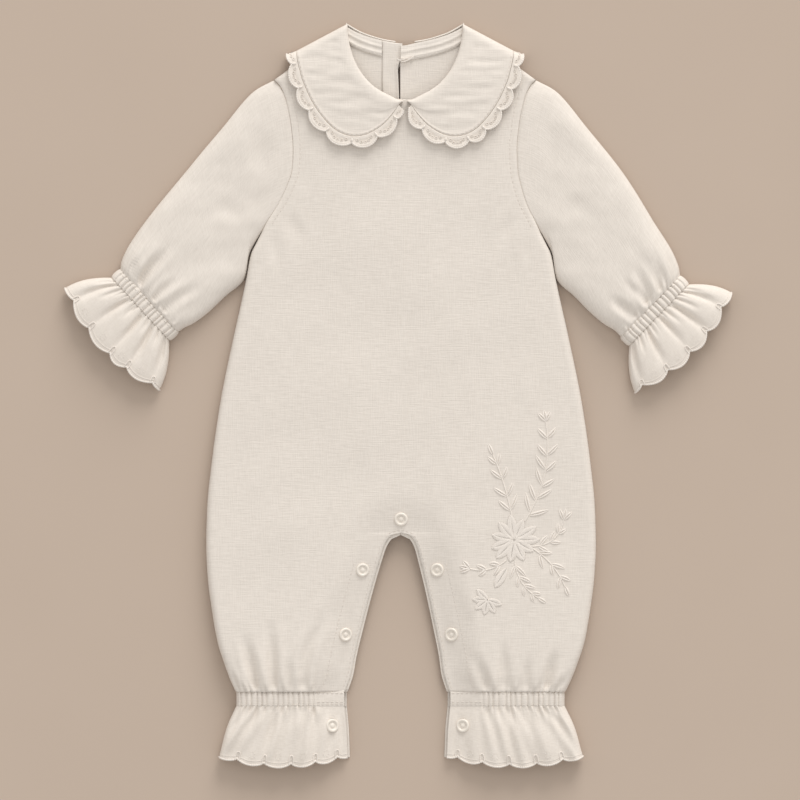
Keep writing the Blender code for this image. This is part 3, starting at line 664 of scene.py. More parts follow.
@dataclass(frozen=True)
class Gauze:
    """Washed cotton double gauze: matt, with slubby threads that show as faint broken streaks both ways, partly
    their own uneven tone and partly painted shade in the weave's low parts.
    """

    name: str = "cotton_double_gauze"
    thread: str = "#E9E1D8"
    # Colour of the weave's low parts: painted shade in its hollows, mixed with the slubs' own uneven tone.
    hollow: str = "#DBD3CA"
    slub_length: float = 11.0
    slub_width: float = 1.0
    thread_pitch: float = 1.5
    relief: float = 0.14
    roughness: float = 0.92
    sheen: float = 0.12

    def material(self) -> Material:
        """The cloth's material. Its threads are about 0.4 mm apart and are drawn 1.5 mm apart to show."""
        cloth = new_material(self.name)
        cut = add_node(cloth, "UVMap", {"uv_map": "cut"})
        threads, ribs = [], []
        lengths = (self.slub_length, self.slub_width)
        for along, aside in (lengths, lengths[::-1]):
            run = add_node(cloth, "Mapping", {"Scale": (1 / along, 1 / aside, 1), "Vector": cut})
            settings = {"Scale": 1.0, "Detail": 3.0, "Roughness": 0.65, "Vector": run}
            threads.append(add_node(cloth, "TexNoise", settings))
        for direction in ("X", "Y"):
            settings = {"bands_direction": direction, "Scale": 2 * math.pi / 20 / self.thread_pitch}
            settings |= {"Distortion": 1.2, "Detail": 2.0, "Detail Scale": 0.6, "Vector": cut}
            ribs.append(add_node(cloth, "TexWave", settings, "Fac"))
        weft = add_node(cloth, "Math", {"operation": "MULTIPLY", 0: threads[0], 1: 1.5})
        slubs = add_node(cloth, "Math", {"operation": "ADD", 0: weft, 1: threads[1]})
        plain = add_node(cloth, "Math", {"operation": "ADD", 0: ribs[0], 1: ribs[1]})
        fine = add_node(cloth, "Math", {"operation": "MULTIPLY", 0: plain, 1: 0.08})
        relief = add_node(cloth, "Math", {"operation": "ADD", 0: slubs, 1: fine})
        bump = add_node(cloth, "Bump", {"Strength": 1.0, "Distance": self.relief * MM, "Height": relief})
        # The slub noise that raises the bump also mixes the two colours: the cloth is darker where it lies low,
        # which is painted shade in the weave's hollows.
        settings = {"From Min": 0.9, "From Max": 1.7, "Value": slubs}
        depth = add_node(cloth, "MapRange", settings)
        colours = {"data_type": "RGBA", 0: depth, 6: linear(self.hollow), 7: linear(self.thread)}
        looks = {"Base Color": add_node(cloth, "Mix", colours, 2), "Normal": bump, "Roughness": self.roughness}
        return shaded(cloth, looks | {"Sheen Weight": self.sheen, "Sheen Roughness": 0.5})


@dataclass(frozen=True)
class Thread:
    """Mercerised cotton thread: smoother than the cloth, so that it takes a soft light along each stitch."""

    name: str = "mercerised_cotton_thread"
    colour: str = "#ECE5DD"
    # Colour of the grooves between the plies: painted shade.
    shade: str = "#E2D9D0"
    roughness: float = 0.62
    sheen: float = 0.25

    def material(self) -> Material:
        """The thread's material, whose plies are about 0.2 mm and are drawn 0.5 mm apart to show, with painted
        shade in the grooves between them.
        """
        thread = new_material(self.name)
        spot = add_node(thread, "TexCoord", {}, "Object")
        plies = add_node(thread, "TexNoise", {"Scale": 2000.0, "Detail": 1.0, "Vector": spot})
        bump = add_node(thread, "Bump", {"Strength": 0.6, "Distance": 0.0001, "Height": plies})
        # The ply noise that raises the bump also mixes in the darker colour: painted shade in the grooves.
        colours = {"data_type": "RGBA", 0: plies, 6: linear(self.shade), 7: linear(self.colour)}
        looks = {"Base Color": add_node(thread, "Mix", colours, 2), "Normal": bump}
        return shaded(thread, looks | {"Roughness": self.roughness, "Sheen Weight": self.sheen})


@dataclass(frozen=True)
class Resin:
    """Moulded polyester resin of the snaps and the button: milky, with the soft gloss of a polished mould."""

    name: str = "moulded_polyester_resin"
    colour: str = "#F0E9DF"
    cloud: str = "#E6DDD2"
    roughness: float = 0.32

    def material(self) -> Material:
        """The resin's material, clouded a little as pearly resin is."""
        resin = new_material(self.name)
        spot = add_node(resin, "TexCoord", {}, "Object")
        clouds = add_node(resin, "TexNoise", {"Scale": 400.0, "Detail": 2.0, "Vector": spot})
        colours = {"data_type": "RGBA", 0: clouds, 6: linear(self.cloud), 7: linear(self.colour)}
        tint = add_node(resin, "Mix", colours, 2)
        return shaded(resin, {"Base Color": tint, "Roughness": self.roughness, "IOR": 1.54})


@dataclass(frozen=True)
class Paper:
    """The matt studio paper that the garment lies on."""

    name: str = "matt_studio_paper"
    colour: str = "#C2B1A2"
    mottle: str = "#BEAD9E"

    def material(self) -> Material:
        """The paper's material, with a fibre too faint to draw the eye."""
        paper = new_material(self.name)
        spot = add_node(paper, "TexCoord", {}, "Object")
        fibres = add_node(paper, "TexNoise", {"Scale": 9.0, "Detail": 6.0, "Vector": spot})
        colours = {"data_type": "RGBA", 0: fibres, 6: linear(self.mottle), 7: linear(self.colour)}
        return shaded(paper, {"Base Color": add_node(paper, "Mix", colours, 2), "Roughness": 1.0})


@dataclass(frozen=True)
class Wardrobe:
    """The finishes that the sub-assemblies share, made once."""

    gauze: Material
    edging: Material
    thread: Material
    resin: Material

    @classmethod
    def stocked(cls) -> "Wardrobe":
        """Makes each finish's material."""
        # The edging's second colour is painted shade in the low parts of its weave, as on the gauze.
        edging = Gauze("embroidered_cotton_edging", "#EBE3DA", "#DED5CB", 6.0, 0.9, 1.3, 0.12, 0.9, 0.15)
        return cls(Gauze().material(), edging.material(), Thread().material(), Resin().material())


def lay_cloth(
    node: str,
    slot: str,
    spots: tuple[Array, Array, Array],
    cut: tuple[Array, Array],
    side: Side,
    finishes: Wardrobe,
    closed: bool = False,
    name: str = "",
    **sheet: object,
) -> None:
    """Lays a sheet of cloth over a grid of spots of the pattern, with its faces away from the garment.

    Args:
        node: the solid that it stands for.
        slot: the record's material slot, which settles its cloth and its thickness.
        spots: across, down and height of each grid point, on the wearer's left.
        cut: each grid point's place on the grain, with one more column if closed.
        side: the side that it is laid on.
        finishes: the romper's materials.
        closed: whether the last column meets the first.
        name: the piece's name, where it isn't the solid's.
        sheet: its flat size and how it is held; not used.
    """
    across, down, height = np.broadcast_arrays(*spots)
    points = LAY.place(side.value * across, down, height)
    rows, columns = across.shape
    quads = grid_quads(np.arange(rows * columns).reshape(rows, columns), closed)
    weave = np.stack(np.broadcast_arrays(*cut), -1).reshape(-1, 2)
    corners = grid_quads(np.arange(rows * (columns + closed)).reshape(rows, -1))
    if side is Side.RIGHT:
        quads, corners = quads[:, ::-1], corners[:, ::-1]
    finish = finishes.edging if slot == "edging" else finishes.gauze
    piece = mesh_object(f"romper_{name or node}", points, quads, finish, weave[corners])
    solidify(piece, CLOTH if slot == "gauze" else TRIM_CLOTH)
    show(piece, slot, node)


@dataclass(frozen=True)
class SidePart:
    """A part that the romper has on each side."""

    finishes: Wardrobe
    side: Side

    def lay(self, part: str, slot: str, spots: tuple, cut: tuple, closed: bool = False, **sheet: object) -> None:
        """Lays a sheet of this side's cloth."""
        lay_cloth(f"{part}_{self.side.word}", slot, spots, cut, self.side, self.finishes, closed, **sheet)

    def place(self, across: Array, down: Array, height: Array) -> Array:
        """Points of the frame on this side."""
        return LAY.place(self.side.value * across, down, height)

    def sew(self, part: str, rows: list[Array], thread: float = 0.2) -> None:
        """Sews rows of stitches on this side."""
        sew(f"romper_{part}_stitches_{self.side.word}", rows, self.finishes, thread)


# ---- front and back


@dataclass(frozen=True)
class Front:
    """The front, cut in one piece from the shoulders to the ankle casings."""

    finishes: Wardrobe
    columns: int = 92
    seam_dip: float = 0.2
    seam_width: float = 1.4
    stitch_dip: float = 0.15
    armhole_stitch: float = 5.0
    edge_stitch: float = 2.2
    gathers_from: float = 380.0
    flap_stitch: float = 17.5
    ankle_left: Gathers = Gathers(seed=5, count=13, begins=0.28, depth=1.5, reach=11, ropes=21)
    ankle_right: Gathers = Gathers(seed=8, count=13, begins=0.26, depth=1.5, reach=11, ropes=21)
    creases_left: tuple[Crease, ...] = (
        Crease(((54, 450), (59, 465), (64, 482)), 2.6, 3.4, True),
        Crease(((74, 440), (75, 462), (75, 482)), 2.2, 3.2, True),
        Crease(((112, 448), (108, 464), (104, 482)), 2.7, 3.4, True),
        Crease(((124, 462), (119, 472), (112, 483)), 1.7, 2.8, True),
        Crease(((92, 452), (91, 468), (90, 482)), 1.6, 3.0, True),
        Crease(((36, 398), (46, 426), (52, 446)), 0.6, 5.0),
    )
    creases_right: tuple[Crease, ...] = (
        Crease(((50, 416), (59, 436), (66, 453), (70, 482)), 2.3, 3.8, True),
        Crease(((94, 424), (92, 450), (90, 482)), 2.5, 3.6, True),
        Crease(((113, 434), (108, 458), (103, 482)), 2.8, 3.6, True),
        Crease(((125, 464), (120, 474), (114, 483)), 1.9, 2.8, True),
        Crease(((80, 454), (79, 468), (78, 482)), 1.6, 3.0, True),
        Crease(((40, 402), (46, 424), (50, 440)), 0.6, 5.0),
    )
    creases_middle: tuple[Crease, ...] = (
        Crease(((92, 131), (80, 142), (70, 160)), 0.7, 4.5),
        Crease(((97, 143), (92, 158), (90, 176)), 0.8, 4.0),
        Crease(((84, 96), (76, 104), (70, 118)), 0.35, 5.0),
    )

    def levels(self) -> Array:
        """The levels of the grid's rows, closer where the edge turns fast and above the casings."""
        top, end = BODY.shoulder_top[1], BODY.leg_end
        stretches = [(top, 40.3, 16), (40.3, 52, 10), (52, 57, 10), (57, 150.5, 40), (150.5, 360, 64)]
        stretches += [(360, 366.5, 5), (366.5, 370, 12), (370, 440, 32), (440, end, 34)]
        rows = [np.linspace(low, high, count, endpoint=False) for low, high, count in stretches]
        return np.append(np.concatenate(rows), end)

    def stops(self) -> Array:
        """Shares across each half, closer towards the side seam where the cloth rolls down."""
        even = steps(self.columns)
        return mixed(even, 1 - (1 - even) ** 2, 0.7)

    def surface(self, across: Array, down: Array) -> Array:
        """The height of the outer face.

        Args:
            across: spots across, positive to the wearer's left.
            down: spots down.

        Returns:
            The height at each spot, with the creases and gathers.
        """
        height = BODY.front_height(across, down)
        inner, outer = BODY.inner_edge(down), BODY.outer_edge(down)
        away = np.clip(outer - np.abs(across), 0, None)
        soft = eased(away, 2, 20) * (1 - 0.6 * eased(down, 400, 440))
        height = height + rumpled(across, down, 3, 75, 0.42) * soft + rumpled(across, down, 4, 24, 0.07) * soft
        height -= creased(self.creases_middle, np.abs(across), down) * soft
        sides = ((1, self.creases_left, self.ankle_left), (-1, self.creases_right, self.ankle_right))
        for side, creases, gathers in sides:
            mine = np.where(across * side > 0, 1.0, 0.0)
            share = (np.abs(across) - inner) / (outer - inner)
            above = np.clip(BODY.leg_end - down, 0, None)
            fold = creased(creases, np.abs(across), down) * eased(away, 0, 6) * mixed(0.15, 1, eased(above, 0, 6))
            pucker = gathers.sink(share, above, outer - inner) - gathers.rope(share, above)
            height -= mine * (fold + pucker * eased(away, 0, 5) * (down > self.gathers_from))
        armhole = eased(down, 40, 46) * (1 - eased(down, 146, 152))
        height -= self.seam_dip * armhole * bell(away, self.seam_width)
        height -= self.stitch_dip * armhole * bell(away - self.armhole_stitch, 1.1)
        leg = eased(down, 385, 395)
        height -= self.stitch_dip * leg * bell(np.abs(across) - inner - self.flap_stitch, 1.3)
        return height - 0.12 * bell(BODY.leg_end - down, 1.2)

    def build(self) -> None:
        """Makes the front."""
        down = self.levels()[:, None]
        inner, outer = BODY.inner_edge(down), BODY.outer_edge(down)
        across = mixed(inner, outer, self.stops()[None])
        halves = (across, -across)
        points = np.stack([LAY.place(half, down, self.surface(half, down)) for half in halves])
        index = np.arange(points[..., 0].size).reshape(points.shape[:3])
        shared = inner[:, 0] < 1e-6
        index[1, shared, 0] = index[0, shared, 0]
        quads = np.concatenate([grid_quads(index[0])[:, ::-1], grid_quads(index[1])])
        weave = np.stack([np.concatenate(halves), np.concatenate([down + 0 * across] * 2)], -1)
        numbers = np.arange(index.size).reshape(index.shape)
        corners = np.concatenate([grid_quads(numbers[0])[:, ::-1], grid_quads(numbers[1])])
        piece = mesh_object("romper_front", points, quads, self.finishes.gauze, weave.reshape(-1, 2)[corners])
        solidify(piece, CLOTH)
        show(piece, "gauze", "front")

    def build_stitches(self) -> None:
        """Sews the rows beside the armholes, the opening between the legs and its facing."""
        armhole, leg, facing = np.linspace(46, 147, 80), steps(90) ** 2, np.linspace(388, 479, 60)
        level = mixed(BODY.crotch, 479.5, leg)
        opening = beside(np.stack([BODY.inner_leg(level), level], -1), self.edge_stitch)
        rows = []
        for side in Side:
            for across, down in (
                (BODY.outer_edge(armhole) - self.armhole_stitch, armhole),
                (opening[:, 0], opening[:, 1]),
                (BODY.inner_leg(facing) + self.flap_stitch, facing),
            ):
                across = side.value * across
                rows.append(LAY.place(across, down, self.surface(across, down) + 0.1))
        sew("romper_front_stitches", rows, self.finishes, 0.14)


@dataclass(frozen=True)
class BackHalf(SidePart):
    """One half of the back, which shows at the neck and along the inner legs."""

    rows: int = 105
    columns: int = 50
    neck_fades: float = 40.0
    below_front: float = 2.4

    def build(self) -> None:
        """Makes this half of the back."""
        top = BODY.shoulder_top[1]
        level = np.concatenate([np.linspace(top, 366, self.rows), np.linspace(367.8, BODY.leg_end, 40)])[:, None]
        edge = np.maximum(0, BODY.inner_leg(level - BODY.back_peek * 0.7) - BODY.back_peek * 0.8)
        lapped = BODY.lap_reach * (1 - eased(level, *BODY.lap_ends)) * self.side.value
        gape = 0 if self.side is Side.LEFT else BODY.slit(level) * (level < 200)
        inner, outer = np.maximum(edge, 0.1) - lapped + gape, BODY.outer_edge(level)
        across = mixed(inner, outer, cosine_stops(self.columns)[None])
        neck = np.maximum(0, BODY.back_neck(across) + BODY.neck_seam - top)
        down = level + neck * (1 - eased(level, top, self.neck_fades))
        if self.side is Side.LEFT:
            step = BODY.neck_step * bell(across + BODY.lap_reach, 8)
            down = down + step * (1 - eased(level, top, self.neck_fades))
        fall = rounded((outer - across) / BACK_ROLL)
        armhole = (level > BODY.shoulder_tip[1]) & (level < BODY.underarm[1])
        near = np.minimum(BODY.armhole_share(level), 1 - BODY.armhole_share(level)) * 110 / BACK_ROLL
        rim = mixed(SEAM_HEIGHT - SEAM_GAP / 2, BODY.room(level), np.where(armhole, rounded(near), 0))
        flat = BODY.room(down) + 0.12 * (1.5 + rumpled(across, down, 11, 40, 0.5)) * eased(outer - across, 4, 20)
        flap = 1 - eased(BODY.off_opening(across, down), 0, BODY.flap_ease)
        lifted = (BODY.flap_edge(down) - self.below_front) * flap
        height = mixed(rim, np.maximum(flat, 0) + lifted, fall)
        if self.side is Side.LEFT:
            height = height + BODY.lap(across, down)
        spots = (across, down, height)
        self.lay("back", "gauze", spots, spots[:2], flat=(0.15, 0.49), held="laid", area=0.060)


# ---- threads


def overcast(path: Array, radius: float = 0.6, stitch: float = 1.6) -> Array:
    """The radius along a cord that is wrapped in thread, whose turns are drawn wide enough to show."""
    run = run_along(path) / MM
    return radius * (1 + 0.14 * np.sin(2 * np.pi * run / stitch))


def stitches(path: Array, length: float = 2.3, gap: float = 1.1) -> list[Array]:
    """A row of running stitches.

    Args:
        path: points along the row, in metres.
        length: how long each stitch shows.
        gap: how far apart they are.

    Returns:
        The points of each stitch, whose ends dip into the cloth.
    """
    run = run_along(path) / MM
    starts = np.arange(0, run[-1] - length, length + gap)
    marks = starts[:, None] + length * np.array([0, 0.2, 0.5, 0.8, 1])
    row = np.stack([np.interp(marks, run, column) for column in path.T], -1)
    row[:, :, 2] += np.array([-0.25, 0.1, 0.16, 0.1, -0.25]) * MM
    return list(row)


def sew(name: str, rows: list[Array], finishes: Wardrobe, thread: float = 0.2) -> None:
    """Sews rows of running stitches as one piece, from the points along each row."""
    sewing = [stitch for row in rows for stitch in stitches(row)]
    lay_threads(name, sewing, [thread] * len(sewing), finishes.thread, 4)


def beside(points: Array, off: float) -> Array:
    """A line of spots that runs beside another, off to its left as one looks along it."""
    along = unit(np.gradient(points, axis=0))
    return points + off * np.stack([along[:, 1], -along[:, 0]], -1)


@dataclass(frozen=True)
class Scallops:
    """The scallops along an embroidered edge, which meet in cusps at uneven places."""

    cusps: tuple[float, ...]
    depth: float = 3.4
    roundness: float = 0.6

    def phase(self, share: Array) -> Array:
        """Which scallop each place along the edge is in, and how far along it."""
        ends = [2 * self.cusps[0] - self.cusps[1], *self.cusps, 2 * self.cusps[-1] - self.cusps[-2]]
        return np.interp(share, ends, np.arange(len(ends)))

    def crest(self, share: Array) -> Array:
        """0 at each cusp and 1 in the middle of each scallop."""
        return np.abs(np.sin(np.pi * self.phase(share)))

    def dip(self, share: Array) -> Array:
        """How far the edge is drawn in at each place, from nothing at a crest."""
        return self.depth * (1 - self.crest(share) ** self.roundness)


@dataclass(frozen=True)
class Hem:
    """The embroidery along a ruffle's hem: a cord, a line, a loop at each cusp and rings of dots."""

    finishes: Wardrobe
    scallops: Scallops
    width: float
    depth: float
    cord: float = 0.75
    line_inset: float = 2.8
    line: float = 0.22
    ring_inset: float = 7.0
    ring: float = 2.1
    dots: int = 7
    dot: float = 0.3
    loop_height: float = 7.6
    loop_width: float = 4.2
    loop: float = 0.4

    def build(self, name: str, place: Callable) -> None:
        """Makes all the hem's threads as one piece.

        Args:
            name: the piece's name.
            place: gives points of the cloth from shares along and towards the hem, and a lift.
        """
        share = steps(300)
        edge = place(share, np.ones_like(share), -0.2)
        inner = place(share, np.full_like(share, 1 - self.line_inset / self.depth), 0.05)
        paths, radii = [edge, inner], [overcast(edge, self.cord), self.line]
        turn = np.linspace(-1, 1, 15)
        out = self.loop_width / 2 * np.sign(turn) * np.sqrt(np.abs(turn)) * (1 - 0.25 * np.abs(turn))
        for cusp in self.scallops.cusps:
            rise = self.loop_height * (1 - np.abs(turn) ** 2)
            paths.append(place(cusp + out / self.width, 1 - rise / self.depth, 0.2))
            radii.append(self.loop)
        for start, end in zip(self.scallops.cusps, self.scallops.cusps[1:]):
            for angle in 2 * np.pi * np.arange(self.dots) / self.dots:
                dot = (start + end) / 2 + (self.ring * math.cos(angle) + np.array([-0.3, 0, 0.3])) / self.width
                rise = self.ring_inset + self.ring * math.sin(angle)
                paths.append(place(dot, np.full(3, 1 - rise / self.depth), 0.0))
                radii.append(self.dot)
        lay_threads(name, paths, radii, self.finishes.thread)


# ---- sleeves


@dataclass(frozen=True)
class Sleeve(SidePart):
    """One sleeve, its wrist casing and its ruffle, laid out flat from the armhole."""

    gathers: Gathers
    scallops: Scallops
    creases: tuple[Crease, ...]
    swing: float = math.radians(0.7)
    rings: int = 120
    over: int = 84
    under: int = 34
    crown_at_wrist: float = 11.0
    casing: float = 8.0
    casing_starts: float = -1.2
    casing_stitch: float = 0.9
    ruffle_sag: float = 11.0
    ruffle_bulge: float = 3.2
    casing_poke: float = 1.3
    slip: float = 1.5
    slip_starts: float = 5.0
    tuck: float = 0.8
    frill_length: float = 37.0
    wrist_width: float = 62.0
    hem_width: float = 100.0
    trough: float = 2.6
    lobe: float = 1.0
    hem_top: Spot = (240.1, 192.0)
    hem_low: Spot = (171.5, 264.7)
    wrist_top: Spot = (201.9, 179.6)
    wrist_low: Spot = (159.9, 224.1)

    # Each station's upper fold and lower fold, how much of the armhole's bow it keeps, and its height.
    STATIONS = (
        (94.3, 40.3, 100.8, 150.5, 1.0, 9.5),
        (111.2, 50.6, 109.1, 166, 0.62, 9.5),
        (131.4, 74.9, 112.6, 184, 0.30, 10),
        (150.5, 97.9, 125.3, 195.8, 0.10, 11),
        (168.1, 121, 137.2, 207.4, 0, 12.4),
        (182.2, 141.1, 147.2, 215.4, 0, 13.4),
        (194.6, 159.8, 154.8, 219.6, 0, 13.6),
        (200.2, 171.6, 158.0, 222.2, 0, 12.8),
        (201.6, 178.8, 159.5, 223.7, 0, 11.6),
    )

    def outward(self) -> Array:
        """The way that the wrist's end faces, square to its casing."""
        along = np.subtract(self.wrist_low, self.wrist_top)
        along /= np.linalg.norm(along)
        return np.array([along[1], -along[0]])

    def ring_shares(self) -> tuple[Array, Array]:
        """Shares round a ring from the upper fold and back beneath, and 1 for over."""
        over, under = cosine_stops(self.over), cosine_stops(self.under)[-2:0:-1]
        share = np.concatenate([over, under])
        return share[None], np.concatenate([np.ones(len(over)), np.zeros(len(under))])[None]

    def swung(self, across: Array, down: Array, share: Array | float) -> tuple[Array, Array]:
        """Turns spots about the shoulder tip by the sleeve's small swing."""
        tip_across, tip_down = BODY.shoulder_tip
        turn = self.side.value * self.swing * share
        x, y = across - tip_across, down - tip_down
        return tip_across + x * np.cos(turn) - y * np.sin(turn), tip_down + x * np.sin(turn) + y * np.cos(turn)

    def bows(self, share: Array) -> tuple[Array, Array]:
        """The armhole's curve, read along its chord.

        Args:
            share: places along the chord.

        Returns:
            How far the armhole lies off its chord, towards the body, and the front's height there.
        """
        tip, low = np.array(BODY.shoulder_tip), np.array(BODY.underarm)
        down = np.linspace(tip[1] + 1e-3, low[1] - 1e-3, 400)
        along = (low - tip) / np.linalg.norm(low - tip)
        shares = BODY.armhole_share(down)
        off = np.stack([BODY.outer_edge(down), down], -1) - tip - (low - tip) * shares[:, None]
        bow = off @ np.array([-along[1], along[0]])
        return np.interp(share, shares, bow), np.interp(share, shares, BODY.crown(down))

    def build_sleeve(self) -> None:
        """Makes the sleeve from the armhole to the casing."""
        at = np.concatenate([np.linspace(0, 5, 60, endpoint=False), np.linspace(5, 8, self.rings - 60)])
        table = spline(self.STATIONS, at)
        starts = self.slip_starts
        slip = self.side.value * self.slip * np.clip((at - starts) / (8 - starts), 0, 1)
        shift = slip[:, None, None] * self.outward()
        top, low = table[:, None, :2] + shift, table[:, None, 2:4] + shift
        keep, crown = table[:, 4:5], table[:, 5:6]
        share, over = self.ring_shares()
        chord = low - top
        length = np.linalg.norm(chord, axis=-1)
        along = chord / length[..., None]
        towards = np.stack([-along[..., 1], along[..., 0]], -1)
        bow, shoulder = self.bows(share)
        station = at[:, None]
        tuck = self.tuck * (station == 0)
        spot = top + chord * share[..., None] + towards * (np.clip(keep, 0, 1) * bow + tuck)[..., None]
        across, down = spot[..., 0], spot[..., 1]
        height = mixed(crown, shoulder, np.clip(1 - station, 0, 1) ** 2)
        puff = mixed(SEAM_HEIGHT, height, pillow(share, 7.0))
        room = BODY.room(down) * np.clip(1 - station / 2, 0, 1)
        rest = mixed(SEAM_HEIGHT, room, rounded(np.minimum(share, 1 - share) * length / BACK_ROLL))
        middle = spot[:, self.over // 2]
        run = run_along(middle)[:, None]
        away = run[-1] - run
        inside = eased(np.minimum(share, 1 - share) * length, 0, 7)
        soft = rumpled(across, down, 21 + self.side.value, 46, 0.4) + rumpled(across, down, 25, 17, 0.1)
        fold = creased(self.creases, across, down) * mixed(0.15, 1, eased(away, 0, 6))
        sunk = fold + self.gathers.sink(share, away, length, 1.15)
        seam = (0.25 * bell(run, 1.6) + self.tuck * (run == 0)) * eased(np.minimum(share, 1 - share), 0, 0.06)
        rope = self.gathers.rope(share, away)
        front = puff + (soft * eased(run, 3, 20) - sunk + rope) * inside - seam - 0.5 * bell(away, 1.3)
        under = rest + np.maximum(0, 0.3 * self.gathers.sink(share, away, length, 1.6)) * inside
        across, down = self.swung(across, down, station / 8)
        height = np.where(over > 0, front, under)
        lap = np.hstack([share * length, length * 2])
        cut = (np.hstack([run + 0 * share, run]), np.where(np.hstack([over, [[0]]]) > 0, lap, 2 * length - lap))
        spots = (across, down, height)
        self.lay("sleeve", "gauze", spots, cut, True, flat=(0.235, 0.165), area=0.030, **GATHERED)

    def wrist_ends(self, out: Array | float) -> tuple[Array, Array]:
        """Both corners of the wrist at a distance out from the casing's inner edge."""
        out = np.asarray(out, float)[..., None] + self.side.value * self.slip
        return np.array(self.wrist_top) + self.outward() * out, np.array(self.wrist_low) + self.outward() * out

    def on_casing(self, share: Array, out: Array, lift: float) -> tuple[Array, Array, Array]:
        """Spots of the casing's upper face.

        Args:
            share: places from the upper fold to the lower one.
            out: how far each is from the casing's inner edge.
            lift: how far above the face to read.

        Returns:
            The spots across and down, and their heights.
        """
        top, low = self.wrist_ends(out)
        width = np.linalg.norm(low - top, axis=-1)
        band = np.sqrt(np.clip(arch((out - self.casing_starts) / (self.casing + 0.2 - self.casing_starts)), 0, 1))
        poke = self.casing_poke * band / width
        spot = top + (low - top) * mixed(-poke, 1 + poke, share)[..., None]
        across, down = self.swung(spot[..., 0], spot[..., 1], 1.0)
        edge = eased(np.minimum(share, 1 - share), 0, 0.05)
        puff = mixed(SEAM_HEIGHT, self.crown_at_wrist, pillow(share, 7.0))
        return across, down, puff + (0.95 * band - 0.75 + self.gathers.rope(share)) * edge + lift

    def build_casing(self) -> None:
        """Makes the band that draws the wrist in, ridged all round."""
        out = np.linspace(self.casing_starts, self.casing + 0.2, 17)[:, None]
        over, under = steps(200), np.linspace(1, 0, 102)[1:-1]
        share = np.concatenate([over, under])[None]
        is_over = np.concatenate([np.ones(200), np.zeros(100)])[None] > 0
        across, down, front = self.on_casing(share + 0 * out, out + 0 * share, 0.0)
        rest = mixed(SEAM_HEIGHT, 0, rounded(np.minimum(share, 1 - share) * self.wrist_width / BACK_ROLL))
        edge = eased(np.minimum(share, 1 - share), 0, 0.05)
        under_side = rest + 0.35 * (1 + self.gathers.rope(share) / self.gathers.swell) * edge
        height = np.where(is_over, front, under_side + 0 * out)
        cut_across = np.hstack([np.where(is_over, share, 2 - share), [[2.0]]]) * self.wrist_width * 1.6
        spots, cut = (across, down, height), (out, cut_across)
        self.lay("wrist_casing", "gauze", spots, cut, True, flat=(0.14, 0.01), **GATHERED)

    def ruffle_spots(self, share: Array, frill: Array) -> tuple[Array, Array]:
        """Where the ruffle's cloth lies.

        Args:
            share: places from the upper fold to the lower one.
            frill: places from the casing, 0, to the hem, 1.

        Returns:
            The spots across and down, before the sleeve's swing.
        """
        top_in, low_in = self.wrist_ends(self.casing)
        top = mixed(top_in, np.array(self.hem_top), frill[..., None])
        low = mixed(low_in, np.array(self.hem_low), frill[..., None])
        along = unit(low - top)
        spread = self.ruffle_bulge * arch(frill)[..., None]
        top, low = top - along * spread, low + along * spread
        towards = np.stack([-along[..., 1], along[..., 0]], -1)
        bow = -self.ruffle_sag * frill * arch(share) + self.scallops.dip(share) * eased(frill, 0.72, 1.0)
        spot = top + (low - top) * share[..., None] + towards * bow[..., None]
        return spot[..., 0], spot[..., 1]

    def ruffle_height(self, share: Array, frill: Array) -> Array:
        """The height of the ruffle's upper face: lobes between troughs that run to the cusps."""
        crown = Curve([(0, 10.8), (0.4, 12.2), (0.75, 11.9), (1, 11.0)])(frill)
        puff = mixed(SEAM_HEIGHT, crown, pillow(share, 7.0))
        edge = eased(np.minimum(share, 1 - share), 0, 0.07)
        length = mixed(self.wrist_width, self.hem_width, frill)
        random = np.random.default_rng(self.gathers.seed + 50)
        sunk = np.zeros(np.broadcast(share, frill).shape)
        opens = mixed(0.3, 1, eased(frill * self.frill_length, 0, 4.5))
        for cusp in self.scallops.cusps:
            at = cusp + random.uniform(-0.01, 0.01)
            ends = random.uniform(0.7, 1.0)
            width = mixed(1.2, 3.6, frill)
            fade = (1 - eased(frill, ends - 0.55, ends + 0.15)) * random.uniform(0.85, 1.1) * opens
            sunk += self.trough * fade * bell((share - at) * length, width)
        for start, end in zip((0.0, *self.scallops.cusps), (*self.scallops.cusps, 1.0)):
            at = mixed(start, end, random.uniform(0.35, 0.65))
            ends = random.uniform(0.3, 0.6)
            fade = 1 - eased(frill, ends - 0.3, ends)
            pinch = bell((share - at) * length, mixed(1.2, 2.6, frill))
            sunk += 0.45 * self.trough * fade * opens * pinch
        lobe = self.lobe * (self.scallops.crest(share) ** 0.8 - 0.6) * eased(frill, 0, 0.3) * (1 - 0.45 * frill)
        rope = self.gathers.rope(share, frill * self.frill_length)
        return puff + (lobe - sunk + rope) * edge - 0.35 * bell(frill * self.frill_length, 1.3)

    def on_ruffle(self, share: Array, frill: Array, lift: float) -> Array:
        """Points above the ruffle's upper face."""
        height = self.ruffle_height(share, frill) + lift
        across, down = self.swung(*self.ruffle_spots(share, frill), 1.0)
        return self.place(across, down, height)

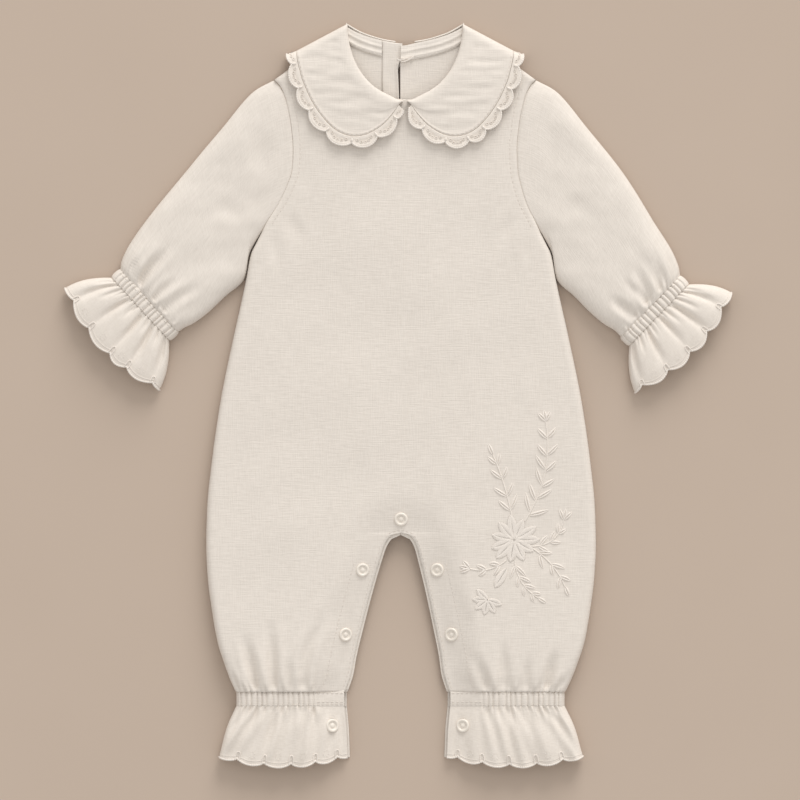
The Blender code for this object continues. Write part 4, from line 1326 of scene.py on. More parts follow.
    def build_ruffle(self) -> None:
        """Makes the ruffle, a fan of gathered cloth with a scalloped hem."""
        frill = steps(42)[:, None]
        over, under = steps(210), np.linspace(1, 0, 92)[1:-1]
        share = np.concatenate([over, under])[None]
        is_over = np.concatenate([np.ones(210), np.zeros(90)])[None] > 0
        across, down = self.ruffle_spots(share + 0 * frill, frill + 0 * share)
        length = mixed(self.wrist_width, self.hem_width, frill)
        near = np.minimum(share, 1 - share) * length / BACK_ROLL
        under_side = mixed(SEAM_HEIGHT, 0, rounded(near)) + 0.5 * eased(near, 0, 1) * frill
        height = np.where(is_over, self.ruffle_height(share, frill), under_side)
        across, down = self.swung(across, down, 1.0)
        cut_across = np.hstack([np.where(is_over, share, 2 - share), [[2.0]]]) * 150
        spots, cut = (across, down, height), (frill * 38, cut_across)
        self.lay("wrist_ruffle", "edging", spots, cut, True, flat=(0.205, 0.043), **GATHERED)

    def build_stitches(self) -> None:
        """Sews the casing's two rows."""
        share = np.linspace(0.04, 0.96, 220)
        rows = []
        for out in (self.casing_stitch, self.casing - self.casing_stitch):
            across, down, height = self.on_casing(share, np.full_like(share, out), 0.1)
            rows.append(self.place(across, down, height))
        self.sew("wrist", rows)

    def build(self) -> None:
        """Makes the sleeve and all that is sewn to its end."""
        self.build_sleeve()
        self.build_casing()
        self.build_ruffle()
        self.build_stitches()
        hem = Hem(self.finishes, self.scallops, self.hem_width, self.frill_length)
        hem.build(f"wrist_hem_cord_{self.side.word}", self.on_ruffle)


# ---- ankles


@dataclass(frozen=True)
class Ankle(SidePart):
    """One ankle's casing and ruffle, open at the inner leg."""

    gathers: Gathers
    scallops: Scallops
    casing: float = 10.0
    ruffle: float = 40.8
    casing_starts: float = -1.2
    roll: float = 7.0
    hem_sag: float = 7.0

    INNER = Curve([(0, 38.2), (0.45, 36.6), (1, 35.8)])
    OUTER = Curve([(0, 118.2), (0.45, 125.6), (1, 131)])
    CROWN = Curve([(0, 11.0), (0.45, 12), (1, 10.8)])

    def spots(self, share: Array, frill: Array) -> tuple[Array, Array]:
        """The ruffle's spots, at shares from the inner leg out and frills from the casing, 0, to the hem, 1."""
        across = mixed(self.INNER(frill), self.OUTER(frill), share)
        down = BODY.leg_end + self.casing + self.ruffle * frill + self.hem_sag * (arch(share) - 0.5) * frill
        return across, down - self.scallops.dip(share) * eased(frill, 0.78, 1.0)

    def form(self, share: Array, frill: Array) -> Array:
        """The height of the upper face without its gathers."""
        inner, outer, crown = self.INNER(frill), self.OUTER(frill), self.CROWN(frill)
        across = mixed(inner, outer, share)
        rise = rounded((outer - across) / self.roll, BODY.roll_power)
        low = mixed(BODY.flap_edge(BODY.leg_end), SEAM_HEIGHT, share)
        return low + (crown - low) * rise * eased(across, inner, inner + BODY.flap_ease)

    def ruffle_height(self, share: Array, frill: Array) -> Array:
        """The height of the ruffle's upper face, with short troughs and a lightly fluted hem."""
        length = self.OUTER(frill) - self.INNER(frill)
        edge = eased((1 - share) * length, 0, 6) * eased(share * length, 0, 5)
        away = frill * self.ruffle
        sunk = 1.3 * self.gathers.sink(share, away, length, 1.1) - self.gathers.rope(share, away)
        loose = rumpled(share * 90 - 9 * frill * share, frill * 9, 35 + self.side.value, 10, 0.75)
        sunk += loose * eased(away, 2, 14)
        flute = 0.9 * frill**1.5 * (self.scallops.crest(share) - 0.6) * eased(share, 0.0, 0.3)
        line = 0.12 * bell(away, 1.4) + 0.1 * bell(away - 2.6, 1.0)
        soft = rumpled(share * 90, frill * 40, 31 + self.side.value, 26, 0.25)
        return self.form(share, frill) + (flute - sunk + soft * frill) * edge - line

    def on_ruffle(self, share: Array, frill: Array, lift: float) -> Array:
        """Points above the ruffle's upper face."""
        across, down = self.spots(share, frill)
        return self.place(across, down, self.ruffle_height(share, frill) + lift)

    def under_height(self, share: Array, frill: Array, rise: float) -> Array:
        """The height of the lower layer's outer face."""
        length = self.OUTER(frill) - self.INNER(frill)
        away = (1 - share) * length
        return mixed(SEAM_HEIGHT, 0, rounded(away / BACK_ROLL)) + rise * frill * eased(away, 0, 9)

    def ring(self, over: int, under: int) -> tuple[Array, Array]:
        """Shares round a ring from the inner leg over the front and back beneath: share and over."""
        top = 1 - (1 - steps(over)) ** 1.25
        low = np.linspace(1, 0, under + 1)[1:]
        is_over = np.concatenate([np.ones(over), np.zeros(under)]) > 0
        # Read backwards, so that the faces look away from the garment.
        return np.concatenate([top, low])[None, ::-1], is_over[None, ::-1]

    def casing_height(self, share: Array, out: Array) -> Array:
        """The height of the casing's upper face at distances out from its upper edge."""
        band = np.sqrt(np.clip(arch((out - self.casing_starts) / (self.casing - 2 * self.casing_starts)), 0, 1))
        gathered = self.gathers.drawn(share)
        edge = eased((1 - share) * 80, 0, 4)
        flat = self.form(share, 0 * out) + (0.6 * band - 0.25) * (1 - gathered)
        return flat + edge * (gathered * (1.0 * band - 0.6) + self.gathers.rope(share))

    def build_casing(self) -> None:
        """Makes the band over the ankle, flat over the flap and ridged beyond it."""
        out = np.linspace(self.casing_starts, self.casing - self.casing_starts, 19)[:, None]
        share, is_over = self.ring(230, 100)
        nothing = 0 * out
        across = mixed(self.INNER(0), self.OUTER(0), share) + nothing
        across = across - np.where(is_over, 0, BODY.back_peek * (1 - share))
        gathered, edge = self.gathers.drawn(share), eased((1 - share) * 80, 0, 4)
        under = self.under_height(share, nothing, 0) + 0.3 * gathered * (1 + self.gathers.rope(share)) * edge
        height = np.where(is_over, self.casing_height(share, out), under)
        lap = np.where(is_over, share, 2 - share) * 80 * 1.5
        spots = (across, BODY.leg_end + out, height)
        self.lay("ankle_casing", "gauze", spots, (lap, out), flat=(0.20, 0.011), **GATHERED)

    def build_ruffle(self) -> None:
        """Makes the ruffle below the casing."""
        frill = steps(42)[:, None]
        share, is_over = self.ring(240, 80)
        across, down = self.spots(share + 0 * frill, frill + 0 * share)
        across = across - np.where(is_over, 0, BODY.back_peek * (1 - share))
        height = np.where(is_over, self.ruffle_height(share, frill), self.under_height(share, frill, 0.5))
        lap = np.where(is_over, share, 2 - share) * 140
        spots = (across, down, height)
        self.lay("ankle_ruffle", "edging", spots, (lap, frill * 42), flat=(0.20, 0.044), **GATHERED)

    def build_stitches(self) -> None:
        """Sews the casing's two rows, and a third over the flat part."""
        rows = []
        flat = mixed(0.01, self.gathers.begins, steps(60))
        whole = np.linspace(0.01, 0.97, 240)
        for out, share in ((1.0, whole), (self.casing - 1.0, whole), (self.casing - 2.8, flat)):
            across = mixed(float(self.INNER(0)), float(self.OUTER(0)), share)
            height = self.casing_height(share, np.full_like(share, out)) + 0.1
            rows.append(self.place(across, BODY.leg_end + out + 0 * share, height))
        self.sew("ankle", rows)

    def build(self) -> None:
        """Makes the casing, the ruffle and its corded hem."""
        self.build_casing()
        self.build_ruffle()
        self.build_stitches()
        hem = Hem(self.finishes, self.scallops, 95.0, self.ruffle)
        hem.build(f"ankle_hem_cord_{self.side.word}", self.on_ruffle)


# ---- collar


@dataclass(frozen=True)
class Collar(SidePart):
    """One collar half and its scalloped edging, over the front and folded under the back at the shoulder.

    Cusps are in millimetres along the cloth edge.
    """

    scallops: Scallops
    rows: int = 170
    cusp: float = 0.46
    pitch: float = 17.0
    lace_rest: float = 3.8
    seam: float = 0.05
    cord: float = 0.72
    knot: float = 0.8
    knot_length: float = 2.4
    eyelets: int = 5
    eyelet: float = 0.8

    # lies, the neck roll, the cloth edge and the lace edge. lies is 1 on the front and -1 beneath the back.
    ROWS = (
        (1, 1.6, 55.6, 4.6, 58.4, 0.9, 62.5),
        (1, 7.6, 55.0, 10.0, 66.5, 4.2, 71.8),
        (1, 15, 51.8, 17.5, 74.0, 12.6, 80.7),
        (1, 21.5, 48.0, 28, 79.8, 25.3, 87.8),
        (1, 27, 43.3, 38.5, 81.0, 39.5, 89.3),
        (1, 31.6, 37.9, 49, 77.2, 53.6, 84.4),
        (1, 35.6, 31.7, 58.8, 68.0, 65.4, 73.6),
        (1, 38.9, 24.5, 67, 56.0, 74.5, 60.2),
        (1, 41.3, 16.8, 73.2, 42.5, 81.2, 45.7),
        (1, 42.4, 11.3, 75.6, 34.5, 83.7, 36.7),
        (1, 43.0, 6.1, 77.4, 27.2, 85.0, 28.7),
        (0, 43.2, 0.7, 78.4, 19.3, 85.2, 21.8),
        (-1, 40.5, 2.6, 77.5, 31, 83, 32),
        (-1, 33, 6.9, 70, 49, 75, 53),
        (-1, 25, 10, 56, 61, 60, 67),
        (-1, 16, 12.6, 36, 66, 37, 72.5),
        (-1, 7, 14.2, 12, 62, 11, 68.5),
    )
    TURN = 11
    # From the seam up over the roll: out from the neck edge, up above the front, and up beneath the back.
    ROLL = ((-1.6, -0.4, 3.0), (-2.0, 1.8, 1.7), (-0.4, 3.9, 0.3), (4.0, 4.7, 0), (11.0, 4.2, 0))
    FALL = ((0.55, 3.8), (0.8, 3.5), (1.0, 3.4))

    def table(self, at: Array) -> tuple[Array, Array, Array, Array]:
        """The collar's rows between those of its table: lies, neck, cloth edge and lace edge."""
        front = spline(self.ROWS[: self.TURN + 1], np.clip(at, 0, self.TURN))
        back = spline(self.ROWS[self.TURN :], np.clip(at - self.TURN, 0, len(self.ROWS) - 1 - self.TURN))
        rows = np.where(at[:, None] <= self.TURN, front, back)
        lies = np.interp(at, [0, self.TURN - 1, self.TURN, self.TURN + 1, 99], [1, 1, 0, -1, -1])
        return lies, rows[:, 1:3], rows[:, 3:5], rows[:, 5:7]

    def rest(self, lies: Array, across: Array, down: Array, up: Array, under: Array) -> Array:
        """Heights of the collar over the front, round the shoulder's fold and beneath the back."""
        over = mixed(SEAM_HEIGHT, BODY.crown(down) + up, rounded(np.clip(lies, 0, 1), 2.6))
        return np.where(lies >= 0, over, mixed(SEAM_HEIGHT, under, rounded(np.clip(-lies, 0, 1))))

    def edge_run(self, at: Array) -> Array:
        """How far along the cloth edge each place is."""
        fine = np.linspace(0, len(self.ROWS) - 1, 1200)
        return np.interp(at, fine, run_along(self.table(fine)[2]))

    def build_cloth(self) -> None:
        """Makes the collar half of cloth."""
        at = np.linspace(0, len(self.ROWS) - 1, self.rows)
        lies, neck, edge, _ = self.table(at)
        width = np.linalg.norm(edge - neck, axis=1)
        outward = (edge - neck) / width[:, None]
        lines = []
        for out, up, under in self.ROLL:
            scale = np.clip(width / 24, 0.1, 1) if out > 0 else mixed(0.1, 1, eased(at, 0, 1.6))
            lines.append([*(neck + outward * (out * scale)[:, None]).T, 0 * width + up, 0 * width + under])
        for share, up in self.FALL:
            lines.append([*mixed(neck, edge, share).T, 0 * width + up, 0 * width])
        controls = np.array(lines)
        columns = spline(controls, np.concatenate([np.linspace(0, 4, 26), np.linspace(4, 7, 31)[1:]]))
        across, down, up, under = (columns[:, part].T for part in range(4))
        height = self.rest(lies[:, None], across, down, up, under)
        from_edge = np.linalg.norm(np.stack([across, down], -1) - edge[:, None], axis=-1)
        from_neck = np.linalg.norm(np.stack([across, down], -1) - neck[:, None], axis=-1)
        body = eased(from_edge, 2, 9) * eased(from_neck, 4, 10) * np.clip(lies[:, None], 0, 1)
        waves = rumpled(across * 0.45, down * 1.5, 41 + self.side.value, 13, 0.24)
        rim = 0.3 * bell(from_edge - 1.5, 0.9) - 0.2 * bell(from_edge, 0.4)
        height += waves * body + rim * (lies[:, None] > 0)
        height = np.maximum(height, 0.0)
        spots = (across, down, height)
        self.lay("collar", "gauze", spots, spots[:2], flat=(0.16, 0.10), area=0.0075, **FOLDED)

    def trim_edge(self, at: Array) -> tuple[Array, Array, Array, Array]:
        """The edging's inner and outer line.

        Args:
            at: places along the collar's table.

        Returns:
            lies, the inner line, the scalloped outer line, and how far along its scallop each place is.
        """
        lies, _, edge, lace = self.table(at)
        run = self.edge_run(at)
        last = 2 * self.scallops.cusps[-1] - self.scallops.cusps[-2]
        phase = self.scallops.phase(run) + np.maximum(0, run - last) / self.pitch
        crest = np.abs(np.sin(np.pi * phase)) ** self.scallops.roundness
        outer = mixed(edge, lace, mixed(self.cusp, 1, crest)[:, None])
        outward = unit(lace - edge)
        return lies, edge + self.seam * outward, outer, phase

    def in_trim(self, run: Array, share: Array, lift: float) -> Array:
        """Points of the edging on the front.

        Args:
            run: how far along the cloth edge each is.
            share: places from the cloth edge to the scalloped line.
            lift: how far above the edging.

        Returns:
            The points, in metres.
        """
        fine = np.linspace(0, self.TURN, 600)
        at = np.interp(run, self.edge_run(fine), fine)
        lies, inner, outer, _ = self.trim_edge(at)
        across, down = mixed(inner, outer, share[:, None]).T
        height = self.rest(lies, across, down, self.lace_rest + lift, 0.0)
        return self.place(across, down, height)

    def build_trim(self) -> None:
        """Makes the scalloped edging, dished a little inside each scallop."""
        at = np.linspace(0, len(self.ROWS) - 1, 520)
        lies, inner, outer, phase = self.trim_edge(at)
        share = steps(13)[None, :, None]
        spot = mixed(inner[:, None], outer[:, None], share)
        across, down = spot[..., 0], spot[..., 1]
        height = self.rest(lies[:, None], across, down, self.lace_rest, 0.0)
        fan = np.abs(np.sin(np.pi * phase))[:, None]
        relief = 0.45 * bell(share[..., 0] - 0.86, 0.13) * fan - 0.1 * bell(share[..., 0], 0.1)
        relief = relief - 0.45 * bell(share[..., 0] - 0.5, 0.2) * fan
        height = np.maximum(0, height + relief * (lies[:, None] > 0))
        cut = (self.edge_run(at)[:, None], share[..., 0] * 8)
        spots = (across, down, height)
        self.lay("collar_trim", "edging", spots, cut, flat=(0.21, 0.012), area=0.0018, **FOLDED)

    def build_cord(self) -> None:
        """Makes the edging's threads: the cord, a knot at each cusp and the eyelets of each scallop."""
        at = np.linspace(0, self.TURN + 0.6, 520)
        lies, _, outer, _ = self.trim_edge(at)
        height = self.rest(lies, outer[:, 0], outer[:, 1], self.lace_rest - 0.15, 0.5)
        path = self.place(outer[:, 0], outer[:, 1], height)
        paths, radii = [path], [overcast(path, self.cord)]
        cusps, width = np.array(self.scallops.cusps), 7.0
        for cusp in cusps[cusps > 2]:
            share = 1.1 - np.linspace(0, self.knot_length, 5) / (width * self.cusp)
            paths.append(self.in_trim(np.full(5, cusp), share, 0.35))
            radii.append(self.knot * np.array([0.55, 1, 1, 0.9, 0.4]))
        turn = np.linspace(0, 2 * np.pi, 11)
        ends = np.concatenate([[2 * cusps[0] - cusps[1]], cusps, [2 * cusps[-1] - cusps[-2]]])
        for start, end in zip(ends, ends[1:]):
            for step in np.linspace(-1, 1, self.eyelets):
                middle = (start + end) / 2 + step * (end - start) * 0.29
                if middle > 1.5:
                    out = 0.62 - 0.24 * step * step + self.eyelet * np.sin(turn) / width
                    paths.append(self.in_trim(middle + self.eyelet * np.cos(turn), out, 0.05))
                    radii.append(0.24)
        lay_threads(f"collar_cord_{self.side.word}", paths, radii, self.finishes.thread)

    def build_stitches(self) -> None:
        """Sews the row just inside the collar's cloth edge."""
        at = np.linspace(0.1, self.TURN - 0.3, 260)
        lies, neck, edge, _ = self.table(at)
        across, down = (edge + 1.6 * unit(neck - edge)).T
        height = self.rest(lies, across, down, self.FALL[-1][1] + 0.42, 0.0)
        row = self.place(across, down, height)
        self.sew("collar", [row], 0.17)

    def build(self) -> None:
        """Makes the collar half, its edging and the threads on both."""
        self.build_cloth()
        self.build_trim()
        self.build_cord()
        self.build_stitches()


# ---- the inside of the back neck


@dataclass(frozen=True)
class BackOpening:
    """What shows inside the back neck: binding, placket, loop and button."""

    finishes: Wardrobe
    edge: float = 2.6
    placket: float = 13.9
    placket_end: float = 88.0
    binding_end: float = 42.0
    binding_depth: float = 11.8
    rim: float = 0.45
    ridges: tuple[float, ...] = (4.6, 9.3)
    ridge: float = 0.55
    button_down: float = 21.4
    button_radius: float = 4.6
    button_thick: float = 1.3

    def lay(self, node: str, spots: tuple, side: Side, flat: Spot, name: str = "") -> None:
        """Lays a strip on one half of the back."""
        told = {"flat": flat, "held": "laid", "rests_on": [f"back_{side.word}"]}
        lay_cloth(node, "binding", spots, spots[:2], side, self.finishes, name=name, **told)

    def on_back(self, across: Array, down: Array, lift: Array | float, side: Side) -> Array:
        """The height of a spot above the inner face of the back's half on one side."""
        lap = BODY.lap(across, down) if side is Side.LEFT else 0
        return BODY.room(down) + 1.2 + SEAM_GAP + lift + lap

    def build_binding(self, side: Side) -> None:
        """Makes the ridged strip that binds the back neck.

        Args:
            side: the side that it is on.
        """
        starts = SEAM_GAP - BODY.lap_reach if side is Side.LEFT else self.edge + self.placket + 0.1
        across = np.linspace(self.binding_end, starts, 70)[:, None]
        from_top = np.linspace(self.binding_depth, 0, 48)[None]
        down = BODY.back_neck(across) + BODY.neck_seam - self.rim + from_top
        if side is Side.LEFT:
            down = down + BODY.neck_step * bell(across + BODY.lap_reach, 8)
        lift = TRIM_CLOTH - 0.25 * bell(from_top, 1.0) - 0.4 * bell(from_top - self.binding_depth, 0.6)
        for middle in self.ridges:
            sag = 0.5 * np.sin(across / 7 + middle)
            lift = lift + self.ridge * bell(from_top - middle - 0.4 * sag, 1.3) * (1 + 0.3 * sag)
        lift = lift + rumpled(across, down, 51, 12, 0.1)
        height = self.on_back(across, down, lift, side)
        flat = ((self.binding_end - starts) * MM, 0.0125)
        self.lay(f"neck_facing_{side.word}", (across, down, height), side, flat, f"neck_binding_{side.word}")

    def build_placket(self) -> None:
        """Makes the strip along the wearer's right edge of the slit."""
        share = steps(22)[None]
        outer_edge = self.edge + self.placket
        level = mixed(BODY.back_neck_drop, self.placket_end, steps(70)[:, None])
        across = mixed(outer_edge, BODY.lap_reach + BODY.slit(level), share)
        top = BODY.back_neck(across) + BODY.neck_seam - self.rim
        way = (level - BODY.back_neck_drop) / (self.placket_end - BODY.back_neck_drop)
        down = mixed(top, self.placket_end, way)
        lift = TRIM_CLOTH - 0.55 * bell(share, 0.05) + rumpled(across, down, 53, 14, 0.12)
        lift = lift + 0.9 * bell(share - 1, 0.12)
        height = self.on_back(across, down, lift, Side.RIGHT)
        self.lay("back_placket", (across, down, height), Side.RIGHT, (0.015, 0.08))

    def build_stitches(self) -> None:
        """Sews the binding's lower edge and works the button's thread loop."""
        rows, paths, radii = [], [], []
        for side, start in ((Side.LEFT, -2.0), (Side.RIGHT, self.edge + self.placket + 1)):
            across = np.linspace(start, self.binding_end - 2, 60)
            down = BODY.back_neck(across) + BODY.neck_seam + self.binding_depth - 1.7
            height = self.on_back(across, down, TRIM_CLOTH + 0.15, side)
            rows.append(LAY.place(side.value * across, down, height))
        paths += [stitch for row in rows for stitch in stitches(row)]
        radii += [0.17] * len(paths)
        run = steps(24)
        for strand in range(3):
            across = mixed(-6.0, 6.5, run)
            twist = 0.5 * np.sin(9 * run + 2.1 * strand)
            down = 25.5 + 1.6 * arch(run) - 2.0 * run + 0.6 * (strand - 1) + twist
            height = self.on_back(np.zeros_like(run), down, 2.6 - 1.1 * (2 * run - 1) ** 2, Side.RIGHT)
            paths.append(LAY.place(across, down, height + BODY.lap(across, down)))
            radii.append(0.36)
        lay_threads("romper_back_neck_threads", paths, radii, self.finishes.thread, 5)

    def build_button(self) -> None:
        """Makes the small button beneath the cloth, with a rounded rim and a dished face."""
        profile = [(0, 0.0), (self.button_radius - 0.4, 0), (self.button_radius, 0.4), (self.button_radius, 0.9)]
        profile += [(self.button_radius - 0.5, self.button_thick), (self.button_radius - 1.4, 1.1), (0, 0.9)]
        centre = LAY.place(0.0, self.button_down, 0.0)
        turned("back_button", profile, centre, Vector((0, 0, 1)), self.finishes.resin)

    def build(self) -> None:
        """Makes all that the opening shows."""
        for side in Side:
            self.build_binding(side)
        self.build_placket()
        self.build_stitches()
        self.build_button()


# ---- snaps


@dataclass(frozen=True)
class Snaps:
    """The ring snaps along the inner legs, pressed through the front's flap and the ruffles."""

    finishes: Wardrobe
    radius: float = 4.8
    inset: float = 10.0
    downs: tuple[tuple[str, float], ...] = (("thigh", 393.0), ("shin", 439.5))
    ankle_down: float = 505.0
    # Radius and height from the foot over the raised ring and down to the stud in its recess.
    profile: tuple[Spot, ...] = (
        *((4.8, -0.4), (4.8, 0.3), (4.6, 0.7), (4.25, 0.95), (3.65, 1.0), (3.2, 0.8), (3.0, 0.4)),
        *((2.85, 0.05), (1.7, 0.0), (1.5, 0.3), (1.2, 0.55), (0.7, 0.7), (0, 0.72)),
    )

    def build_one(self, name: str, across: float, down: float, surface: Callable) -> None:
        """Makes a snap, tilted to the cloth under it.

        Args:
            name: which snap it is.
            across: where its middle is across the pattern.
            down: where its middle is down the pattern.
            surface: gives the cloth's height at spots.
        """
        turns = np.arange(8) * np.pi / 4
        x, y = self.radius * np.cos(turns), self.radius * np.sin(turns)
        heights = surface(across + x, down + y)
        spread = (x * x).sum()
        slope_x, slope_y = (heights * x).sum() / spread, (heights * y).sum() / spread
        foot = LAY.place(across, down, heights.mean() + 0.25)
        upward = Vector((-slope_x, slope_y, 1)).normalized()
        turned(name, list(self.profile[::-1]), foot, upward, self.finishes.resin)

    def build(self, front: Front, ankles: list[Ankle]) -> None:
        """Makes the seven snaps.

        Args:
            front: the front, whose flap carries five of them.
            ankles: the ankles, whose ruffles carry one each.
        """
        self.build_one("snap_crotch", 0.0, BODY.crotch - self.inset, front.surface)
        for ankle in ankles:
            side = ankle.side
            for part, down in self.downs:
                across = side.value * float(BODY.inner_leg(down) + self.inset)
                self.build_one(f"snap_{part}_{side.word}", across, down, front.surface)
            frill = (self.ankle_down - BODY.leg_end - ankle.casing) / ankle.ruffle
            inner, outer = float(ankle.INNER(frill)), float(ankle.OUTER(frill))

            def on_ruffle(across: Array, down: Array) -> Array:
                """The ruffle's height at spots near its snap."""
                places = (down - BODY.leg_end - ankle.casing) / ankle.ruffle
                return ankle.ruffle_height((np.abs(across) - inner) / (outer - inner), places)

            across = side.value * (inner + self.inset)
            self.build_one(f"snap_ankle_{side.word}", across, self.ankle_down, on_ruffle)


# ---- embroidery


@dataclass(frozen=True)
class Sprig:
    """A curved stem with pairs of leaves, and a bud at its end if it has one."""

    start: Spot
    end: Spot
    bow: float
    pairs: int
    leaf: float
    width: float
    bud: float = 0.0

    def stem(self, share: Array) -> Array:
        """The stem's spots at shares of the way along it."""
        start, end = np.array(self.start), np.array(self.end)
        reach = end - start
        aside = np.array([-reach[1], reach[0]]) / np.linalg.norm(reach)
        return mixed(start, end, share[:, None]) + aside * (self.bow * arch(share))[:, None]


@dataclass(frozen=True)
class Embroidery:
    """The flowers and sprigs on the wearer's left leg: slanting stitches in petals, padded ones in leaves."""

    finishes: Wardrobe
    seed: int = 12
    flower: Spot = (81.5, 371.5)
    petals: int = 11
    petal: float = 17.0
    petal_width: float = 6.4
    blossom: Spot = (63.0, 414.5)
    blossom_petals: int = 6
    blossom_petal: float = 10.5
    lone_leaf: Spot = (76.5, 391.5)
    slant: float = math.radians(46)
    stitch: float = 0.62
    thread: float = 0.4
    stem: float = 0.45
    rise: float = 0.35
    sprigs: tuple[Sprig, ...] = (
        Sprig((89, 358), (104, 286), 7, 6, 13.5, 3.2, 8),
        Sprig((80, 357), (66, 310), 1.5, 4, 11.5, 3.2),
        Sprig((94, 376), (117, 357), 6, 3, 8.5, 3.0, 8.5),
        Sprig((94, 377), (118, 405), -3, 3, 10.5, 3.2),
        Sprig((82, 386), (99, 413), 4, 4, 9.5, 3.0),
        Sprig((76, 386), (50, 392), -3.5, 2, 8, 3.4, 7.5),
    )

    def leaf(self, base: Array, heading: float, length: float, width: float) -> Array:
        """The stitches of a petal or broad leaf, which slant from its midrib to its edges.

        Args:
            base: the spot that it grows from.
            heading: which way it points, as an angle from straight across.
            length: how long it is.
            width: how wide it is in the middle.

        Returns:
            Each stitch's points: across, down and how far above the cloth.
        """
        ahead = np.array([math.cos(heading), math.sin(heading)])
        aside = np.array([-ahead[1], ahead[0]])
        starts = np.linspace(0.05, 0.97, max(5, round(length / self.stitch)))
        ends = np.minimum(starts + 0.17, 1.0)
        half = width / 2 * np.sin(np.pi * ends**1.25) ** 0.62
        step = steps(5)
        threads = []
        for side in (1, -1):
            along = mixed(starts[:, None], ends[:, None], step)
            off = side * (0.18 + half[:, None] * step)
            lift = self.rise * arch(mixed(0.13, 0.95, step)) + 0 * along
            spots = base + length * along[..., None] * ahead + off[..., None] * aside
            threads.append(np.concatenate([spots, lift[..., None]], -1))
        return np.concatenate(threads)

    def blade(self, base: Array, heading: float, length: float, width: float, bend: float = 0.0) -> Array:
        """The two long padded stitches of a narrow leaf, side by side, whose last column is their radius."""
        ahead = np.array([math.cos(heading), math.sin(heading)])
        aside = np.array([-ahead[1], ahead[0]])
        along = steps(11)
        full = np.sin(np.pi * mixed(0.06, 0.96, along)) ** 0.7
        threads = []
        for side in (1, -1):
            off = side * width * 0.26 * full + bend * along**2
            spots = base + length * along[:, None] * ahead + off[:, None] * aside
            radius = np.maximum(0.25, width * 0.25 * full)
            threads.append(np.concatenate([spots, (0.05 * radius)[:, None], radius[:, None]], -1))
        return np.stack(threads)

    def leaves_of(self, sprig: Sprig, random: np.random.Generator) -> list[Array]:
        """The stitches of all a sprig's leaves, which grow smaller towards its end."""
        threads = []
        places = (np.arange(sprig.pairs) + 0.55) / (sprig.pairs + (0.7 if sprig.bud else 0.2))
        for place in places:
            base, ahead = sprig.stem(np.array([place, place + 0.02]))
            heading = math.atan2(*(ahead - base)[::-1])
            for side in (1, -1):
                length = sprig.leaf * mixed(1.05, 0.7, place) * random.uniform(0.88, 1.1)
                turn = side * self.slant * random.uniform(0.85, 1.15)
                offset = base + (ahead - base) * random.uniform(-1, 1)
                threads.append(self.blade(offset, heading + turn, length, sprig.width, -side * 1.4))
        base, ahead = sprig.stem(np.array([0.98, 1.0]))
        heading = math.atan2(*(ahead - base)[::-1])
        tips = (-0.6, 0, 0.6) if sprig.bud else (0,)
        for turn in tips:
            threads.append(self.blade(ahead, heading + turn, sprig.bud or 0.7 * sprig.leaf, sprig.width))
        return threads

    def build(self, surface: Callable) -> None:
        """Works the spray as one piece.

        Args:
            surface: gives the cloth's height at spots.
        """
        random = np.random.default_rng(self.seed)
        threads = []
        for number in range(self.petals):
            heading = 2 * math.pi * (number + random.uniform(-0.12, 0.12)) / self.petals
            length = self.petal * random.uniform(0.9, 1.08)
            threads.append(self.leaf(np.array(self.flower), heading, length, self.petal_width))
        for number in range(self.blossom_petals):
            heading = math.pi * (0.1 + 1.15 * number / (self.blossom_petals - 1))
            threads.append(self.leaf(np.array(self.blossom), heading, self.blossom_petal, 4.6))
        threads.append(self.leaf(np.array(self.lone_leaf), math.radians(121), 16, 6))
        stitched = np.concatenate(threads)
        radii: list[Array | float] = [self.thread] * len(stitched)
        paths = [*stitched]
        for sprig in self.sprigs:
            padded = np.concatenate(self.leaves_of(sprig, random))
            paths += [*padded[..., :3]]
            radii += [*padded[..., 3]]
        for sprig in self.sprigs:
            spots = sprig.stem(steps(60))
            paths.append(np.concatenate([spots, np.full((60, 1), 0.15)], -1))
            radii.append(self.stem)
        lengths = np.cumsum([len(path) for path in paths])[:-1]
        across, down, lift = np.concatenate(paths).T
        points = LAY.place(across, down, surface(across, down) + lift - 0.1)
        laid = np.split(points, lengths)
        stems = len(self.sprigs)
        radii[-stems:] = [overcast(path, self.stem, 2.2) for path in laid[-stems:]]
        lay_threads("romper_leg_embroidery", laid, radii, self.finishes.thread)


# ---- the room


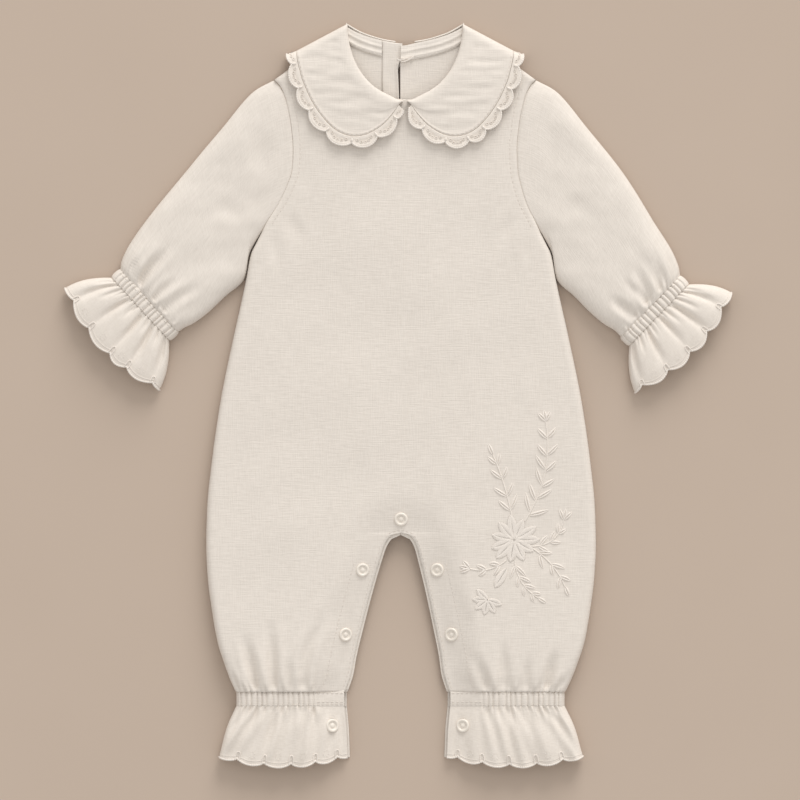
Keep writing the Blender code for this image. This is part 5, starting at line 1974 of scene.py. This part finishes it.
@dataclass(frozen=True)
class Studio:
    """A plain floor, soft light from beyond the neck and a long lens straight above the garment."""

    camera_height: float = 5.0
    view_width: float = 0.5765
    view_centre: Spot = (1.16, -3.47)
    key_place: tuple[float, float, float] = (2.4, 9.4, 3.8)
    key_energy: float = 800.0
    key_size: float = 6.5
    fill: float = 0.765

    def build_floor(self) -> None:
        """Lays the floor just under the garment."""
        half = 3.0
        points = np.array([[-half, -half, 0], [half, -half, 0], [half, half, 0], [-half, half, 0]])
        floor = mesh_object("floor", points - [0, 0, 0.0002], np.array([[0, 1, 2, 3]]), Paper().material())

    def build_camera(self) -> None:
        """Sets the camera, which looks straight down."""
        data = bpy.data.cameras.new("camera")
        data.sensor_width = 36
        data.lens = 36 * self.camera_height / self.view_width
        camera = bpy.data.objects.new("camera", data)
        across, along = self.view_centre
        camera.location = (across * MM, along * MM, self.camera_height)
        bpy.context.scene.collection.objects.link(camera)
        bpy.context.scene.camera = camera

    def build_light(self) -> None:
        """Hangs a large soft light beyond the neck, a little to the wearer's left, and fills the room."""
        data = bpy.data.lights.new("window", "AREA")
        data.shape = "DISK"
        data.size = self.key_size
        data.energy = self.key_energy
        data.color = (1.0, 0.99, 0.975)
        light = bpy.data.objects.new("window", data)
        light.location = self.key_place
        light.rotation_euler = (-light.location).to_track_quat("-Z", "Y").to_euler()
        bpy.context.scene.collection.objects.link(light)
        world = bpy.data.worlds.new("room")
        world.use_nodes = True
        background = world.node_tree.nodes["Background"]
        background.inputs["Color"].default_value = (1.0, 0.98, 0.955, 1)
        background.inputs["Strength"].default_value = self.fill
        bpy.context.scene.world = world
        bpy.context.scene.view_settings.view_transform = "Standard"

    def build(self) -> None:
        """Makes the floor, the camera and the light."""
        self.build_floor()
        self.build_camera()
        self.build_light()


def clear_startup() -> None:
    """Removes what Blender starts with and leaves the frame."""
    for name in ("Cube", "Light", "Camera"):
        if name in bpy.data.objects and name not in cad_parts:
            bpy.data.objects.remove(bpy.data.objects[name], do_unlink=True)


def main() -> None:
    """Builds the romper, piece by piece, and the studio round it."""
    logging.basicConfig(level=logging.INFO, format="%(name)s %(message)s")
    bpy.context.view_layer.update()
    clear_startup()
    Studio().build()
    finishes = Wardrobe.stocked()
    front = Front(finishes)
    front.build()
    front.build_stitches()
    Embroidery(finishes).build(front.surface)
    for side in Side:
        BackHalf(finishes, side).build()
    sleeve_creases = {
        Side.LEFT: (
            Crease(((166, 170), (173, 181), (179.5, 196), (186.5, 205.5)), 2.4, 3.4, True),
            Crease(((182.5, 167), (186, 176.5), (189, 189)), 1.6, 2.8, True),
            Crease(((149, 195), (158, 201.5), (169.5, 209)), 1.9, 3.2, True),
            Crease(((159, 181), (168, 190.5), (177, 199.5)), 1.3, 2.6, True),
            Crease(((118, 70), (106, 92), (104, 118)), 0.7, 6.0),
            Crease(((112, 140), (122, 132), (136, 128)), 0.8, 5.0),
        ),
        Side.RIGHT: (
            Crease(((162, 155.5), (173, 170), (182.5, 180.5), (188.5, 189.5)), 2.5, 3.4, True),
            Crease(((187.5, 167), (191, 175), (194, 182)), 1.5, 2.8, True),
            Crease(((141.5, 186.5), (154.5, 195), (168.5, 205.5)), 1.9, 3.2, True),
            Crease(((157, 181.5), (166, 189), (175.5, 198.5)), 1.4, 2.6, True),
            Crease(((116, 72), (104, 94), (103, 120)), 0.7, 6.0),
            Crease(((110, 142), (124, 134), (138, 130)), 0.8, 5.0),
        ),
    }
    wrists = {
        Side.LEFT: Scallops((0.13, 0.326, 0.515, 0.72, 0.925), 4.6, 0.75),
        Side.RIGHT: Scallops((0.11, 0.33, 0.566, 0.72, 0.927), 3.8, 0.75),
    }
    for side, creases in sleeve_creases.items():
        gathers = Gathers(seed=14 + side.value, count=12, depth=1.9, reach=13)
        Sleeve(finishes, side, gathers, wrists[side], creases).build()
    hems = {
        Side.LEFT: Scallops((0.08, 0.26, 0.46, 0.66, 0.85)),
        Side.RIGHT: Scallops((0.08, 0.25, 0.44, 0.65, 0.86)),
    }
    gathers = {Side.LEFT: front.ankle_left, Side.RIGHT: front.ankle_right}
    ankles = [Ankle(finishes, side, gathers[side], hems[side]) for side in Side]
    for ankle in ankles:
        ankle.build()
    collar_cusps = {
        Side.LEFT: (0.5, 17.5, 34.5, 49, 61.5, 78, 94, 110.5),
        Side.RIGHT: (8.5, 26, 42.5, 60, 78, 95, 112),
    }
    for side, cusps in collar_cusps.items():
        Collar(finishes, side, Scallops(cusps, roundness=0.62)).build()
    BackOpening(finishes).build()
    Snaps(finishes).build(front, ankles)


if __name__ == "__main__":
    main()
